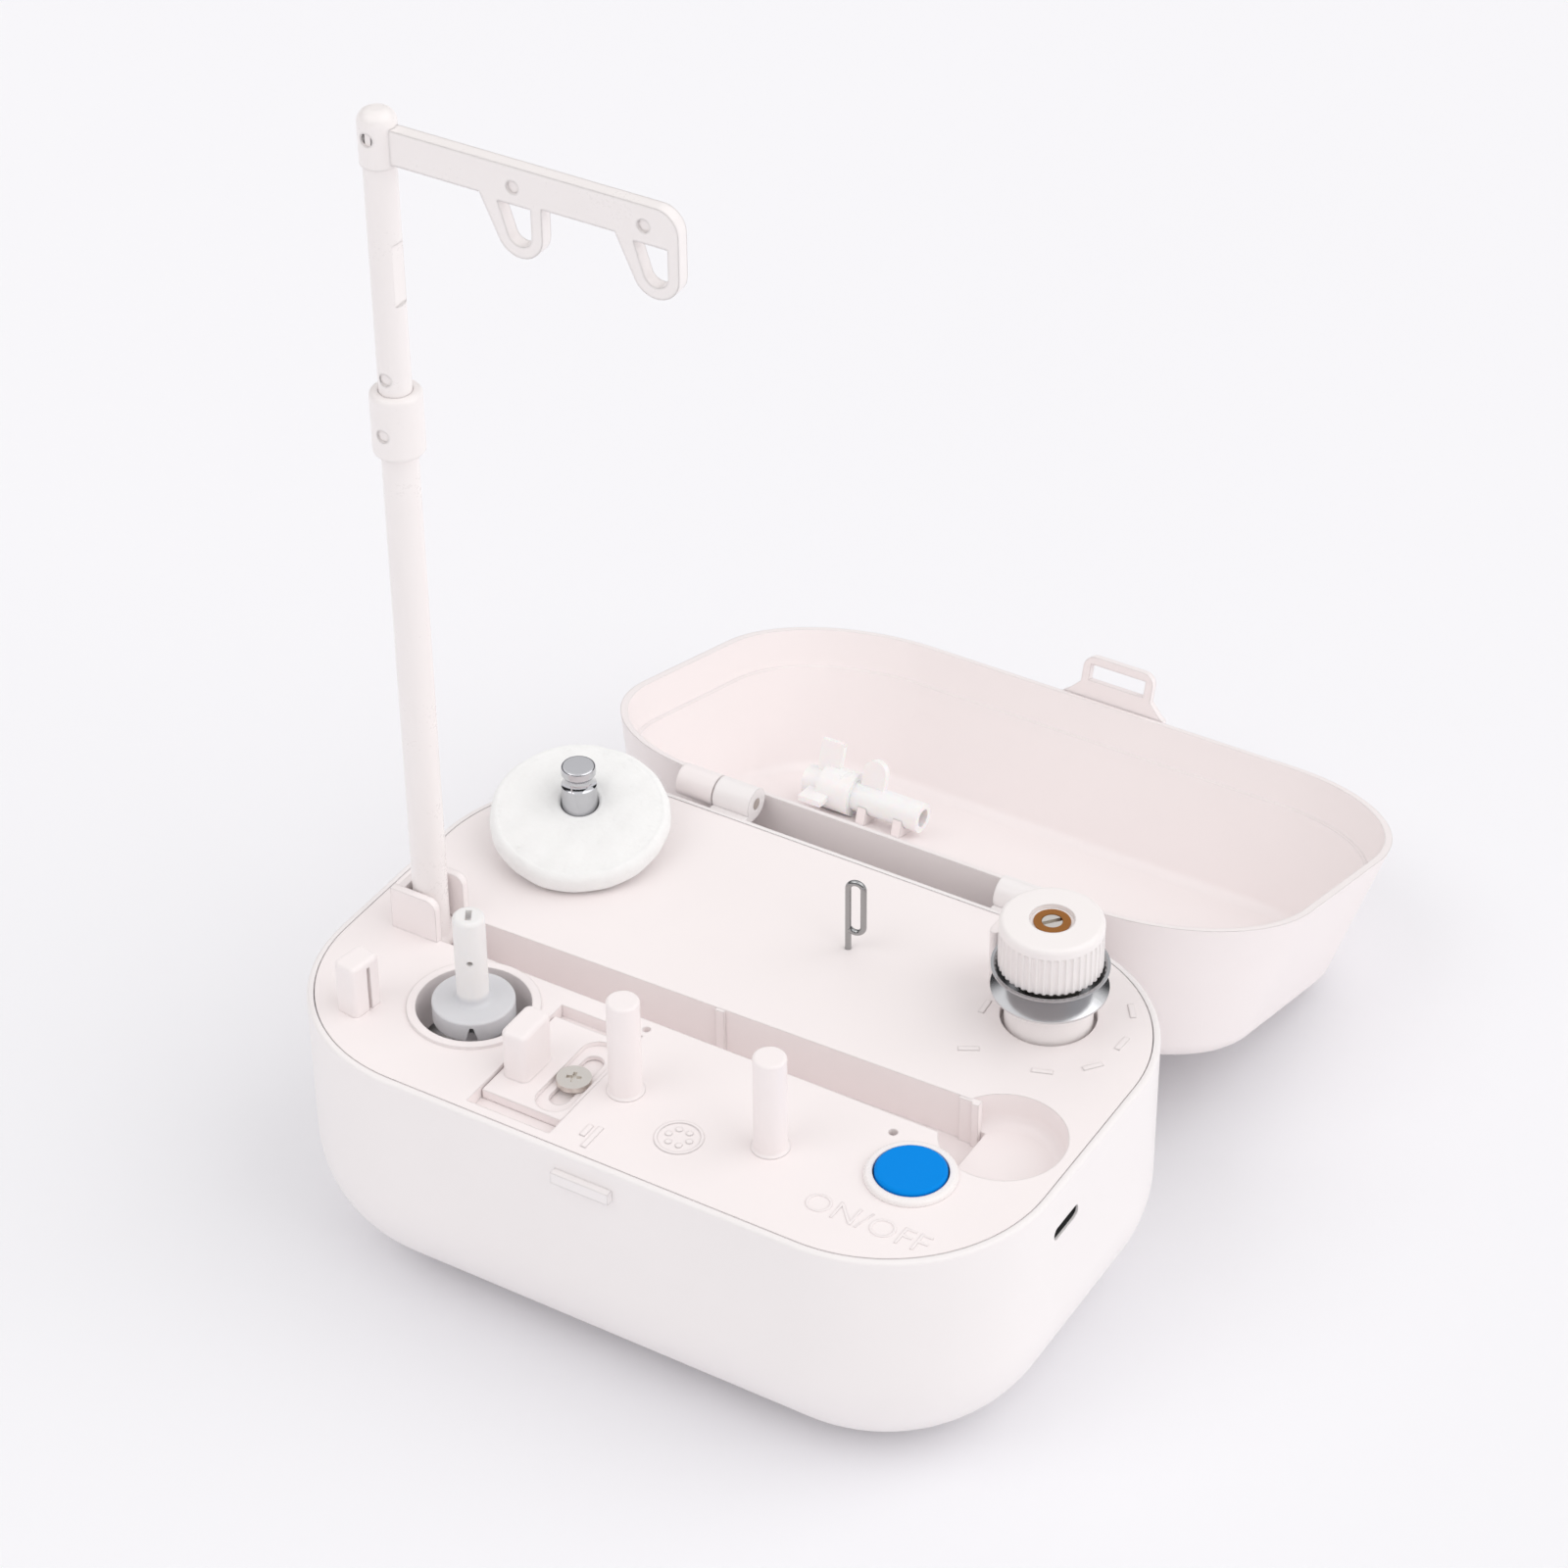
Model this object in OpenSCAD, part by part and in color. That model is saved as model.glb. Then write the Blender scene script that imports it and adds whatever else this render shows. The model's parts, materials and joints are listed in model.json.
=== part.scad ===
// Electric bobbin winder: a rounded plastic case with a hinged lid, a folding thread mast,
// a belt-driven bobbin spindle, a disc tensioner and a spool pin on its deck.
// All sizes are in millimetres. X runs along the case, Y towards the hinge, Z up.
// The origin is on the table, under the middle of the case.

/* [Case] */
// length of the case along X
case_length = 141; // [120:0.5:180]
// width of the case along Y
case_width = 93; // [80:0.5:120]
// radius of the case's upright corners
case_corner = 30.6; // [27:0.2:38]
// height of the rim above the table
case_height = 51; // [48:0.5:60]
// radius that rounds the case into its underside
bottom_round = 22; // [12:0.5:24]
// thickness of the case wall
case_wall = 2; // [1.8:0.1:2.4]
// thickness of the lip beside the deck
rim_lip = 1.2; // [1:0.1:1.5]
// small radius on the rim's outer edge
rim_round = 0.6; // [0.3:0.1:0.8]
// how far the rubber pad holds the case off the table
pad_stand = 0.8; // [0.5:0.1:1.5]
// length of the rubber pad
pad_length = 62; // [40:1:64]
// width of the rubber pad
pad_width = 34; // [20:1:34]
// thickness of the rubber pad
pad_thickness = 2; // [1.6:0.1:2.2]

/* [Lid] */
// depth of the lid from its rim to its outside
lid_depth = 29.3; // [28:0.1:30]
// slope of the lid's drafted walls, inwards for each millimetre of depth
lid_slope = 0.26; // [0.2:0.01:0.3]
// radius that rounds the lid's walls into its top
lid_round = 4.3; // [3:0.1:6]
// thickness of the lid wall
lid_wall = 2.2; // [1.8:0.1:2.6]
// thickness of the lid wall beside the rim
lid_lip = 1.4; // [1.2:0.1:1.6]
// height of that thinner lip
lid_lip_height = 7; // [4:0.5:9]
// gap between the closed lid and the rim
lid_gap = 0.4; // [0.3:0.1:0.8]
// how far the lid leans past flat when it lies open
lid_lean = 16.3; // [10:0.1:16.3]

/* [Hinge and latch] */
// distance of the hinge axis behind the case wall
hinge_back = 3.7; // [3.6:0.1:4.2]
// height of the hinge axis above the rim
hinge_rise = 1; // [0.6:0.1:1.2]
// radius of the hinge knuckles
knuckle_r = 3; // [2.6:0.1:3.1]
// start of the case knuckles, from the middle
knuckle_in = 25.2; // [20:0.2:30]
// length of each knuckle
knuckle_length = 7.6; // [6:0.1:10]
// end gap between a case knuckle and a lid knuckle
knuckle_gap = 0.3; // [0.3:0.05:0.5]
// radius of the hinge pins
hinge_pin_r = 1.1; // [0.9:0.05:1.3]
// running clearance on shafts and pins
run_gap = 0.06; // [0.03:0.01:0.1]
// half width of the latch tab where it meets the lid
latch_half = 11; // [9:0.5:14]
// half width of the latch tab's end
latch_end_half = 7.6; // [7.2:0.1:8.6]
// reach of the latch tab below the closed lid's rim
latch_reach = 8.6; // [7.8:0.1:10]
// thickness of the latch tab
latch_thick = 1.7; // [1.4:0.1:2]
// half length of the bar that the latch tab catches
latch_bar_half = 5.6; // [4:0.1:6]
// height of that bar
latch_bar_height = 2.2; // [1.8:0.1:2.6]
// how far that bar stands out of the case
latch_bar_out = 1.4; // [1:0.1:1.8]
// depth of the bar's middle below the rim
latch_bar_drop = 4.9; // [4.5:0.1:5.2]

/* [Deck] */
// thickness of the deck plate
deck_thickness = 2.4; // [2:0.1:3]
// gap between the deck's edge and the lip
deck_gap = 0.15; // [0.1:0.05:0.4]
// wall of the trays moulded under the deck
tray_wall = 1; // [0.8:0.1:1.2]
// depth of the trench that holds the folded mast
trench_depth = 9.4; // [8.8:0.1:9.6]
// near side of the trench
trench_front = -10.4; // [-11:0.1:-10]
// far side of the trench beside the mast
trench_back_left = -2.6; // [-2.8:0.1:-2]
// far side of the trench at its other end
trench_back_right = -0.4; // [-1:0.1:0]
// distance of the trench's end from the case's end
trench_in = 20.5; // [18.5:0.5:23.5]
// distance of the finger pocket from the case's end
pocket_in = 14.1; // [14:0.1:16.5]
// place of the finger pocket along Y
pocket_y = -6.1; // [-6.6:0.1:-5]
// radius of the finger pocket
pocket_r = 10.8; // [9:0.1:11]
// depth of the finger pocket
pocket_depth = 6.5; // [5:0.1:6.6]
// radius of the well round the bobbin spindle
well_r = 10; // [9:0.1:11]
// radius of the two thread pegs
peg_r = 2.85; // [2.4:0.05:3.2]
// height of the two thread pegs
peg_height = 19.3; // [15:0.1:24]
// distance of the first thread peg from the slider
peg_1_gap = 5; // [3.6:0.1:6.6]
// distance of the second thread peg from the case's end
peg_2_in = 45.9; // [43.5:0.1:48.5]
// place of both thread pegs along Y
peg_y = -27.6; // [-29:0.1:-26]

/* [Bobbin spindle and drive] */
// distance of the spindle from the case's other end
spindle_in = 32.7; // [31.5:0.1:33.5]
// place of the spindle along Y
spindle_y = -22.3; // [-23:0.1:-22]
// radius of the spindle that carries the bobbin
spindle_r = 2.8; // [2.75:0.05:3]
// height of the spindle above the deck
spindle_height = 19.8; // [16:0.2:23]
// radius of the spindle's flange
spindle_flange_r = 7.2; // [6:0.1:8]
// radius of the steel drive shaft
shaft_r = 1.8; // [1.5:0.1:1.9]
// radius of the belt's own section
belt_r = 1.1; // [0.9:0.05:1.2]
// radius at which the belt runs on the spindle pulley
spindle_belt_r = 11.2; // [9:0.1:11.4]
// radius at which the belt runs on the motor pulley
motor_belt_r = 4.2; // [3.6:0.1:5]
// gap between the belt and the pulley grooves
belt_gap = 0.1; // [0.06:0.01:0.15]
// height of the belt above the table
belt_z = 37.4; // [37.1:0.1:37.8]
// distance between the spindle and the motor
belt_reach = 40.8; // [40:0.1:42]
// radius of the motor
motor_r = 12.2; // [10:0.1:12.4]
// top of the motor above the table
motor_top = 32.5; // [30:0.1:33]

/* [Thread mast] */
// distance of the mast from the case's other end
mast_in = 13; // [12.5:0.1:13.5]
// place of the mast along Y
mast_y = -6.2; // [-6.4:0.05:-6]
// depth of the mast's pivot below the deck
pivot_drop = 3.6; // [3.4:0.1:4.2]
// radius of the mast tube
mast_r = 3.1; // [2.8:0.05:3.1]
// height of the collar's lower end above the deck
collar_rise = 97.2; // [80:0.1:98]
// length of the collar
collar_length = 11.4; // [10:0.1:16]
// radius of the collar
collar_r = 4.4; // [4.2:0.05:4.4]
// radius of the thread guide's rod
rod_r = 2.75; // [2.4:0.05:2.8]
// height of the thread guide's top above the deck
guide_rise = 159.1; // [140:0.1:165]
// length of the thread guide's arm
arm_length = 55.4; // [52:0.2:58]
// thickness of the thread guide's arm
arm_thick = 2.4; // [1.8:0.1:2.8]
// height of the thread guide's arm
arm_height = 6; // [5:0.1:7]
// radius of the mast's pivot pin
pivot_r = 1.5; // [1.2:0.05:1.6]

/* [Tensioner] */
// distance of the tensioner from the case's end
tension_in = 22.5; // [21.5:0.1:23]
// place of the tensioner along Y
tension_y = 25.4; // [24.6:0.1:26]
// radius of the tensioner's post
tension_post_r = 7.65; // [7:0.05:8]
// gap round the post in the deck
tension_gap = 0.7; // [0.4:0.05:0.9]
// radius of the two tension discs
disc_r = 10.15; // [9.4:0.05:10.6]
// radius of the tension knob
knob_r = 9; // [8.6:0.05:9.2]
// height of the tension knob
knob_height = 9.4; // [9:0.2:14]
// number of flutes on the tension knob
knob_flutes = 44; // [24:2:60]

/* [Spool pin and small parts] */
// distance of the spool pin from the case's other end
spool_in = 22.8; // [21.5:0.1:24.5]
// place of the spool pin along Y
spool_y = 26.6; // [26:0.1:27.5]
// radius of the spool pin
spool_r = 3.2; // [2.6:0.05:3.4]
// height of the spool pin above the deck
spool_height = 16.4; // [14:0.2:24]
// radius of the felt disc
felt_r = 16.4; // [13:0.1:16.5]
// thickness of the felt disc
felt_thickness = 2.8; // [2:0.1:3.5]
// distance of the button from the case's end
button_in = 22.5; // [22:0.1:23.5]
// place of the button along Y
button_y = -22.1; // [-22.6:0.1:-21.6]
// radius of the button
button_r = 6.2; // [5.6:0.05:6.4]
// travel of the button
button_travel = 1; // [0.6:0.1:1.2]
// gap round parts that slide
slide_gap = 0.3; // [0.3:0.05:0.4]
// place of the wire guide along X
wire_x = 9.4; // [8:0.1:11]
// place of the wire guide along Y
wire_y = 23.8; // [22:0.1:25]
// radius of the guide's wire
wire_r = 0.55; // [0.5:0.05:0.8]
// radius of the translucent spool adapter's collar
adapter_r = 4.4; // [4:0.1:4.6]
// radius of the translucent spool adapter's tube
adapter_tube_r = 3; // [2.6:0.1:3.2]
// length of the translucent spool adapter
adapter_length = 26; // [22:0.5:28]

/* [Hidden] */
$fn = 64;

shell_colour = [0.90, 0.88, 0.865];
lid_colour = [0.90, 0.88, 0.87];
deck_colour = [0.91, 0.89, 0.875];
mast_colour = [0.88, 0.86, 0.85];
nylon_colour = [0.93, 0.93, 0.94];
clear_colour = [0.86, 0.88, 0.93];
steel_colour = [0.62, 0.62, 0.64];
chrome_colour = [0.72, 0.72, 0.74];
brass_colour = [0.72, 0.46, 0.20];
rubber_colour = [0.12, 0.12, 0.12];
felt_colour = [0.95, 0.94, 0.92];
blue_colour = [0.02, 0.50, 0.90];
board_colour = [0.08, 0.32, 0.16];
dark_colour = [0.10, 0.10, 0.11];

deck_z = case_height;
under_z = pad_stand;
floor_z = under_z + case_wall;
seat_z = deck_z - deck_thickness;
end_x = case_length / 2;
near_y = -case_width / 2;
trench_end = end_x - trench_in;
pocket_x = end_x - pocket_in;
peg_2_x = end_x - peg_2_in;
spindle_x = spindle_in - end_x;
motor_x = spindle_x + belt_reach;
mast_x = mast_in - end_x;
tension_x = end_x - tension_in;
spool_x = spool_in - end_x;
button_x = end_x - button_in;
inner_length = case_length - 2 * case_wall;
inner_width = case_width - 2 * case_wall;
inner_corner = case_corner - case_wall;
hinge_y = case_width / 2 + hinge_back;
hinge_z = deck_z + hinge_rise;
lid_z = deck_z + lid_gap;
lid_top = lid_z + lid_depth;
pivot_z = deck_z - pivot_drop;
pivot_half = mast_r + 0.1;
cheek_in = pivot_half + slide_gap;
cheek_out = cheek_in + 1.5;
cheek_end = mast_x + 4.4;
trench_slope = (trench_back_right - trench_back_left) / (trench_end - mast_x - 5);
foot_r = mast_r + 0.2;
collar_z = deck_z + collar_rise;
guide_top = deck_z + guide_rise;
trench_z = deck_z - trench_depth;
trench_start = mast_x - foot_r - 0.3;
tube_seat = collar_length * 0.45;
shell_post_top = 20;
screw_spots = [[26.5 - end_x, 9], [end_x - 30.5, 9], [0, -near_y - 18.5], [spindle_x + 16.2, spindle_y]];
screw_r = 1.3;
screw_head_r = 2.7;
screw_head = 1.8;
screw_sink = 3;
flange_top = deck_z + 1.9;
flange_low = deck_z - 2;
bush_r = shaft_r + 2;
bush_length = 6;
column_top = 32;
column_r = bush_r + 3;
shaft_low = floor_z + 4;
motor_y = spindle_y;
inner_round = bottom_round - case_wall;
motor_side = max(0, inner_round - inner_width / 2 - motor_y + motor_r);
motor_low = floor_z + inner_round - sqrt(pow(inner_round, 2) - pow(motor_side, 2)) + 0.5;
belt_span = motor_x - spindle_x;
belt_lean = acos((spindle_belt_r - motor_belt_r) / belt_span);
belt_straight = sqrt(pow(belt_span, 2) - pow(spindle_belt_r - motor_belt_r, 2));
pulley_half = 2.4;
motor_shaft_r = 1;
motor_boss_r = 3;
motor_boss = 1.8;
bracket_t = 1.2;
bracket_arm = motor_r + 4.2;
bracket_wide = 14;
small_screw_r = 1.1;
board_z = 38.4;
board_t = 1.6;
board_top = board_z + board_t;
board_right = end_x - 6.5;
board_left = board_right - 26;
board_near = -29.5;
board_far = -4;
board_spots = [[board_left + 3.6, board_near + 3.6], [board_right - 4.6, board_near + 4.4]];
usb_y = -10;
usb_w = 9;
usb_h = 3.2;
usb_d = 7.4;
usb_r = 1.5;
usb_shell = 0.35;
switch_top = board_top + 4.2;
stem_low = switch_top + button_travel + 0.2;
bezel_r = button_r + 1.65;
button_hole_r = button_r + 0.2;
clip_height = 1.3;
clip_low = seat_z - slide_gap - clip_height;
clip_r = button_hole_r + 0.7;
clip_turn = atan2(pocket_y - button_y, pocket_x - button_x) + 90;
bezel_stand = 1;
led_x = end_x - 30.3;
led_y = -14.3;
cutter_x = 15.6 - end_x;
cutter_y = -31.9;
cutter_wide = 4.8;
cutter_deep = 6.6;
cutter_rise = 10.4;
slit_y = 0.4;
slit_wide = 0.7;
mark_rise = 0.18;
emblem_y = -33.4;
tick_spots = [[-10.4, -3.6, 95], [-7.4, -14.8, 30], [6.1, -13.7, 20], [12.8, -8.3, 52], [14.3, -0.5, 88],
    [11.8, 8, 125]];
fin_x = end_x - 35.1;
fin_y = 31.6;
slider_left = spindle_x + 12.8;
slider_right = slider_left + 16.4;
peg_1_x = slider_right + peg_1_gap;
emblem_x = (peg_1_x + peg_2_x) / 2;
slider_near = near_y + 3.2;
slider_far = -14.4;
slider_sink = 2.4;
slider_travel = 2.2;
slider_z = deck_z - slider_sink;
plate_near = slider_near + 4.1;
plate_far = slider_far - slider_travel - 0.4;
plate_t = 1.8;
stop_x = slider_left + 12.1;
stop_y = -29.2;
stop_r = 1.5;
stop_head_r = 3;
slot_sink = 0.9;
spool_foot = 8.4;
tab_rise = 7.8;
disc_z = deck_z + 8.2;
disc_t = 0.6;
disc_flat_r = 5.4;
disc_flare = 2.1;
disc_gap = 0.05;
post_top = disc_z - disc_flare;
knob_z = disc_z + 2 * disc_t + disc_gap + disc_flare;
knob_room = 6.2;
knob_top = knob_z + knob_height;
stud_r = 1.75;
nut_r = 3.15;
spring_r = 3.6;
spring_wire = 0.45;
boss_rise = 0.8;
boss_r = 10;
felt_lean = 13.4;
felt_turn = 31.2;
felt_hole_r = spool_r + 1.8;
lug_foot = 1;
hub_wall = 0.45;
rod_low = collar_z + tube_seat + 0.3;
arm_z = guide_top - 8.6;
loop_r = 4.2;
loop_hole_r = 2.2;
loop_drop = 5.4;
loop_1 = 26.6;
loop_2 = arm_length - loop_r;
adapter_y = -16.4;
adapter_x0 = -48.6;
panel_z = lid_top - lid_wall;
adapter_z = panel_z - adapter_r;

// The waste outside a rounded upper corner, where a wall of the given lean meets the top.
module corner_waste(r, lean) {
    reach = r + 0.1;
    difference() {
        polygon([[0, 0], [reach * cos(lean), reach * sin(lean)], [reach + 0.4, reach], [0, reach]]);
        circle(r);
    }
}

// One half of an upright section: its outer wall may slope, and is rounded below and above.
module half_section(half, low, high, r_low, r_high, slope = 0) {
    lean = atan(slope);
    top_half = half - slope * (high - low);
    difference() {
        polygon([[0, low], [half, low], [top_half, high], [0, high]]);
        if (r_low > 0) translate([half - r_low, low + r_low]) mirror([0, 1]) corner_waste(r_low, 0);
        if (r_high > 0) translate([top_half - r_high * tan(45 - lean / 2), high - r_high])
            corner_waste(r_high, lean);
    }
}

module full_section(half, low, high, r_low, r_high, slope) {
    half_section(half, low, high, r_low, r_high, slope);
    mirror([1, 0]) half_section(half, low, high, r_low, r_high, slope);
}

// A solid whose section is carried round a rounded rectangle.
module tub(long, wide, corner, low, high, r_low, r_high, slope = 0) {
    for (sx = [0, 1], sy = [0, 1])
        mirror([sx, 0, 0]) mirror([0, sy, 0])
            translate([long / 2 - corner, wide / 2 - corner, 0])
                rotate_extrude(angle = 90) half_section(corner, low, high, r_low, r_high, slope);
    rotate([90, 0, 90]) linear_extrude(long - 2 * corner, center = true)
        full_section(wide / 2, low, high, r_low, r_high, slope);
    rotate([90, 0, 0]) linear_extrude(wide - 2 * corner, center = true)
        full_section(long / 2, low, high, r_low, r_high, slope);
}

// The room inside a lid whose wall has the given thickness, opened through the rim by a little.
module lid_room(wall, high, r_high) {
    open = 1;
    grow = open * lid_slope - wall;
    tub(case_length + 2 * grow, case_width + 2 * grow, case_corner + grow, lid_z - open, high, 0, r_high,
        lid_slope);
}

// A flat plate with a rounded rectangle for its outline.
module plate(long, wide, corner, low, high) {
    translate([0, 0, low]) linear_extrude(high - low) {
        square([long, wide - 2 * corner], center = true);
        square([long - 2 * corner, wide], center = true);
        for (sx = [-1, 1], sy = [-1, 1])
            translate([sx * (long / 2 - corner), sy * (wide / 2 - corner)]) circle(corner);
    }
}

module rod(x, y, low, high, r) {
    translate([x, y, low]) cylinder(h = high - low, r = r);
}

module box(x0, x1, y0, y1, z0, z1) {
    translate([x0, y0, z0]) cube([x1 - x0, y1 - y0, z1 - z0]);
}

// A bar along X between two places.
module bar_x(x0, x1, y, z, r) {
    translate([x0, y, z]) rotate([0, 90, 0]) cylinder(h = x1 - x0, r = r);
}

// A bar along Y between two places.
module bar_y(x, y0, y1, z, r) {
    translate([x, y0, z]) rotate([-90, 0, 0]) cylinder(h = y1 - y0, r = r);
}

// Everything drawn inside is a piece of the lid, given as it lies when closed.
module opened_lid() {
    translate([0, hinge_y, hinge_z]) rotate([-180 - lid_lean, 0, 0])
        translate([0, -hinge_y, -hinge_z]) children();
}

// Columns that stand on the case floor.
module shell_posts() {
    for (s = screw_spots) rod(s[0], s[1], 0, shell_post_top, 4);
    rod(spindle_x, spindle_y, 0, column_top, column_r);
    difference() {
        rod(motor_x, motor_y, 0, floor_z + 8, motor_r + 1.9);
        rod(motor_x, motor_y, motor_low, deck_z, motor_r + run_gap);
    }
    for (s = [-1, 1]) rod(motor_x + s * bracket_arm, motor_y, 0, motor_top, 3.4);
    for (s = board_spots) rod(s[0], s[1], 0, board_z, 3.2);
}

module knuckle_pair(start) {
    for (s = [0, 1]) mirror([s, 0, 0])
        bar_x(start, start + knuckle_length, hinge_y, hinge_z, knuckle_r);
}

module knuckle_bores(r) {
    for (s = [0, 1]) mirror([s, 0, 0])
        bar_x(knuckle_in - 1, knuckle_in + 2 * knuckle_length + knuckle_gap + 1, hinge_y, hinge_z, r);
}

module base_shell() {
    color(shell_colour) difference() {
        union() {
            difference() {
                tub(case_length, case_width, case_corner, under_z, deck_z, bottom_round, rim_round);
                difference() {
                    tub(inner_length, inner_width, inner_corner, floor_z, deck_z + 1,
                        bottom_round - case_wall, 0);
                    shell_posts();
                }
            }
            knuckle_pair(knuckle_in);
            for (s = [0, 1]) mirror([s, 0, 0])
                box(knuckle_in, knuckle_in + knuckle_length, case_width / 2 - lug_foot, hinge_y,
                    hinge_z - knuckle_r, deck_z - 0.2);
            box(-latch_bar_half, latch_bar_half, -case_width / 2 - latch_bar_out, -case_width / 2 + 1,
                deck_z - latch_bar_drop - latch_bar_height / 2,
                deck_z - latch_bar_drop + latch_bar_height / 2);
        }
        plate(case_length - 2 * rim_lip, case_width - 2 * rim_lip, case_corner - rim_lip,
            seat_z, deck_z + 1);
        knuckle_bores(hinge_pin_r);
        plate(pad_length, pad_width, 5, 0, under_z + pad_thickness - pad_stand);
        for (s = screw_spots) {
            rod(s[0], s[1], 0, shell_post_top + 1, screw_r + 0.3);
            rod(s[0], s[1], 0, under_z + screw_sink, screw_head_r + 0.3);
        }
        rod(spindle_x, spindle_y, shaft_low, column_top + 1, bush_r);
        for (s = [-1, 1])
            rod(motor_x + s * bracket_arm, motor_y, motor_top - 9, motor_top + 1, small_screw_r);
        for (s = board_spots) rod(s[0], s[1], board_z - 9, board_z + 1, small_screw_r);
        translate([case_length / 2 - case_wall - 1, usb_y, board_top + usb_h / 2])
            rotate([90, 0, 90]) linear_extrude(case_wall + 2) usb_outline(-usb_shell);
    }
}

module rubber_pad() {
    color(rubber_colour) plate(pad_length - 0.2, pad_width - 0.2, 4.9, 0, pad_thickness);
}

module case_screws() {
    color(steel_colour) for (s = screw_spots) difference() {
        union() {
            rod(s[0], s[1], under_z + screw_sink - screw_head, under_z + screw_sink, screw_head_r);
            rod(s[0], s[1], under_z + screw_sink, shell_post_top + 10, screw_r);
        }
        for (a = [0, 90]) translate([s[0], s[1], under_z + screw_sink - screw_head])
            rotate([0, 0, a]) cube([3.2, 0.8, 1.8], center = true);
    }
}

module hinge_pins() {
    color(steel_colour) for (s = [0, 1]) mirror([s, 0, 0])
        bar_x(knuckle_in, knuckle_in + 2 * knuckle_length + knuckle_gap, hinge_y, hinge_z, hinge_pin_r);
}

// Outline of the trench in the deck, grown by a margin.
module trench_outline(grow) {
    polygon([[trench_start - grow, trench_front - grow], [trench_end + grow, trench_front - grow],
        [trench_end + grow, trench_back_right + grow], [mast_x + 5, trench_back_left + grow],
        [trench_start - grow, trench_back_left + grow]]);
}

// The two upright pegs on the deck, each with a rounded foot.
module thread_pegs() {
    color(deck_colour) for (x = [peg_1_x, peg_2_x]) translate([x, peg_y, deck_z]) rotate_extrude() {
        half_section(peg_r, 0, peg_height, 0, 0.5);
        difference() {
            translate([peg_r - 0.3, 0]) square([0.8, 0.7]);
            translate([peg_r + 0.5, 0.7]) circle(0.5);
        }
    }
}

module thread_fin() {
    color(deck_colour) translate([fin_x, fin_y, deck_z]) linear_extrude(11) {
        square([1.8, 5.4], center = true);
        for (s = [-1, 1]) translate([0, s * 2.7]) circle(0.9);
    }
}

// Everything drawn inside is a piece of the thread cutter, given from the foot of its block.
module at_cutter() {
    translate([cutter_x, cutter_y, deck_z]) rotate([0, 0, -9]) children();
}

// A rounded block with an upright slit in the side that faces the spindle.
module cutter_block() {
    color(deck_colour) at_cutter() difference() {
        tub(cutter_wide, cutter_deep, 1, 0, cutter_rise, 0, 0.8);
        translate([-0.4, slit_y - slit_wide / 2, -1])
            cube([cutter_wide, slit_wide, cutter_rise - 0.4]);
    }
}

module tick(x, y, turn, long) {
    translate([x, y, deck_z - 0.2]) rotate([0, 0, turn]) translate([-long / 2, -0.5, 0])
        cube([long, 1, 0.2 + mark_rise]);
}

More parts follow.
